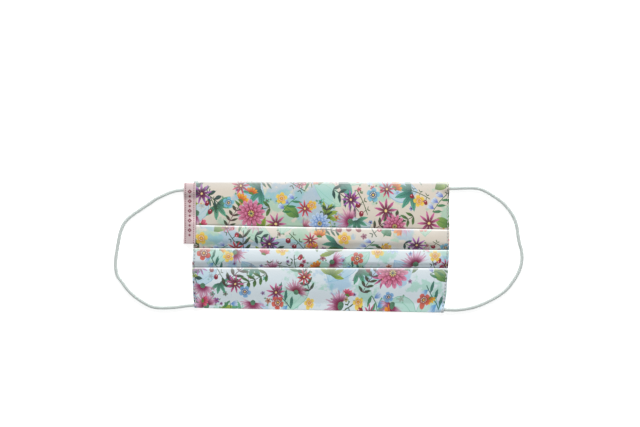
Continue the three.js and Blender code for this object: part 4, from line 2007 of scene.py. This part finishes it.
@dataclass(frozen=True)
class KnittedElastic:
    """Off-white knitted elastic, with shade painted into the grooves between its ribs."""

    body: str = "ced4d2"
    # Colour of the painted shade in the grooves between the ribs
    groove_shade: str = "a9b3af"
    ribs: int = 8
    diameter: float = 2.6

    def material(self, layer: str) -> bpy.types.Material:
        """Builds the elastic's material.

        Args:
            layer: The UV layer that holds the way round and along the cord.

        Returns:
            The material.
        """
        paint = Paint("knitted_elastic")
        place = paint.flat_place(layer)
        around, along, _ = place.split()
        turn = around * (2 * self.ribs / self.diameter)
        row = along * (2 * math.pi)
        knit = 0.5 + (turn + row * 0.5).cosine() * (turn - row * 0.5).cosine() * 0.5
        fuzz = paint.noise(place, 2.2, 3.0, 0.6)
        # Painted shade in the grooves between the knitted ribs, with a little random tone from the fuzz
        body = paint.mix((1 - knit) * 0.5 + fuzz * 0.1, colour(self.body), colour(self.groove_shade))
        paint.finish(
            body, 0.85, knit + fuzz * 0.4, 0.06 * MM, Sheen_Weight=0.2, Sheen_Roughness=0.5,
            Subsurface_Weight=1.0, Subsurface_Radius=(2.4, 2.4, 2.4), Subsurface_Scale=MM,
        )
        return paint.material


@dataclass(frozen=True)
class SewingThread:
    """White sewing thread with a fine twist."""

    body: str = "f1f1ee"
    twist: str = "cfd2d2"

    def material(self) -> bpy.types.Material:
        """Builds the thread's material.

        Returns:
            The material.
        """
        paint = Paint("sewing_thread")
        fuzz = paint.noise(paint.object_place().scaled(1 / MM), 6.0, 2.0)
        body = paint.mix(fuzz * 0.3, colour(self.body), colour(self.twist))
        paint.finish(body, 0.7, fuzz, 0.03 * MM)
        return paint.material


@dataclass(frozen=True)
class Lamp:
    """A square lamp that faces the mask."""

    name: str
    place: tuple[float, float, float]
    size: float
    power: float


@dataclass
class Studio:
    """The lit white table, the soft light from beyond the mask's upper edge, and the camera above it."""

    photo_width: int = 640
    photo_height: int = 427
    mask_pixel: tuple[float, float] = (321.3, 246.6)
    mask_width: float = 180.0 * MM
    mask_width_pixels: float = 255.2
    roll: float = math.radians(0.6)
    camera_height: float = 1.2
    sensor: float = 36.0
    table_side: float = 6.0
    table_glow: float = 0.48
    paper: str = "fbfbfb"
    paper_fibre: str = "eeeeee"
    farthest: float = 20.0
    room_light: float = 0.40
    lamps: tuple[Lamp, ...] = (
        Lamp("window_light", (0.10, 1.10, 0.68), 0.45, 14.8),
        Lamp("ceiling_light", (-0.2, 0.2, 1.5), 1.0, 2.6),
    )

    def place_camera(self, middle: Vector) -> None:
        """Puts the camera straight above, so that the mask has the photograph's place and size.

        Args:
            middle: The cloth's middle, in the frame.
        """
        scale = self.mask_width / self.mask_width_pixels
        right = self.photo_width / 2 - self.mask_pixel[0]
        down = self.photo_height / 2 - self.mask_pixel[1]
        x = (right * math.cos(self.roll) + down * math.sin(self.roll)) * scale
        y = (right * math.sin(self.roll) - down * math.cos(self.roll)) * scale
        data = bpy.data.cameras.new("photo_camera")
        data.sensor_width = self.sensor
        data.lens = self.sensor * self.camera_height / (self.photo_width * scale)
        data.clip_end = self.farthest
        camera = bpy.data.objects.new("photo_camera", data)
        camera.location = (middle.x + x, middle.y + y, self.camera_height)
        camera.rotation_euler = (0.0, 0.0, self.roll)
        bpy.context.scene.collection.objects.link(camera)
        bpy.context.scene.camera = camera

    def build(self) -> None:
        """Makes the table, the lamps and the room's light."""
        side = self.table_side / 2
        points = np.array([(-side, -side, 0), (side, -side, 0), (side, side, 0), (-side, side, 0)])
        table = mesh_object("studio_table", points, [(0, 1, 2, 3)])
        paint = Paint("studio_paper")
        fibre = paint.noise(paint.object_place(), 60.0, 3.0)
        paper = paint.mix(fibre * 0.04, colour(self.paper), colour(self.paper_fibre))
        white = (1.0, 1.0, 1.0, 1.0)
        paint.finish(paper, 0.95, None, 0.0, Emission_Color=white, Emission_Strength=self.table_glow)
        table.data.materials.append(paint.material)
        for lamp in self.lamps:
            self._hang(lamp)
        world = bpy.data.worlds.new("soft_room")
        world.use_nodes = True
        background = world.node_tree.nodes["Background"]
        background.inputs["Color"].default_value = white
        background.inputs["Strength"].default_value = self.room_light
        bpy.context.scene.world = world
        bpy.context.scene.view_settings.view_transform = "Standard"

    @staticmethod
    def _hang(lamp: Lamp) -> None:
        """Adds one lamp.

        Args:
            lamp: The lamp's name, place, size and power.
        """
        data = bpy.data.lights.new(lamp.name, "AREA")
        data.size = lamp.size
        data.energy = lamp.power
        hung = bpy.data.objects.new(lamp.name, data)
        hung.location = lamp.place
        hung.rotation_euler = (-Vector(lamp.place)).to_track_quat("-Z", "Y").to_euler()
        bpy.context.scene.collection.objects.link(hung)


def report(piece: bpy.types.Object) -> None:
    """Logs what a piece is made of."""
    triangles = sum(len(face.vertices) - 2 for face in piece.data.polygons)
    log.info("%s: %d triangles", piece.name, triangles)


def main() -> None:
    """Builds the camera, the cords, the cloth and its trim."""
    logging.basicConfig(level=logging.INFO, format="%(message)s")
    cloth = FoldedCloth()
    cloth.place_on("pleated_panel")
    studio = Studio()
    studio.place_camera(cloth.shift)
    for side in Side:
        report(EarLoop(cloth, side).build(KnittedElastic()))
    report(cloth.build(FloralPrint(), PlainReverse()))
    log.info("flat height %.1f mm", cloth.flat_height / MM)
    ribbon = RibbonLabel(cloth)
    report(ribbon.build(WovenRibbon()))
    bottom = cloth.lower_edge.left * cloth.height + cloth.shift.y
    ribbon_end = cloth.upper_edge.left * cloth.height - ribbon.drop - ribbon.length + cloth.shift.y
    report(SideStitches(cloth, Side.LEFT, bottom, ribbon_end).build(SewingThread()))
    right_bottom = cloth.lower_edge.right * cloth.height + cloth.shift.y
    right_top = cloth.upper_edge.right * cloth.height + cloth.shift.y
    report(SideStitches(cloth, Side.RIGHT, right_bottom, right_top).build(SewingThread()))
    studio.build()


if __name__ == "__main__":
    main()
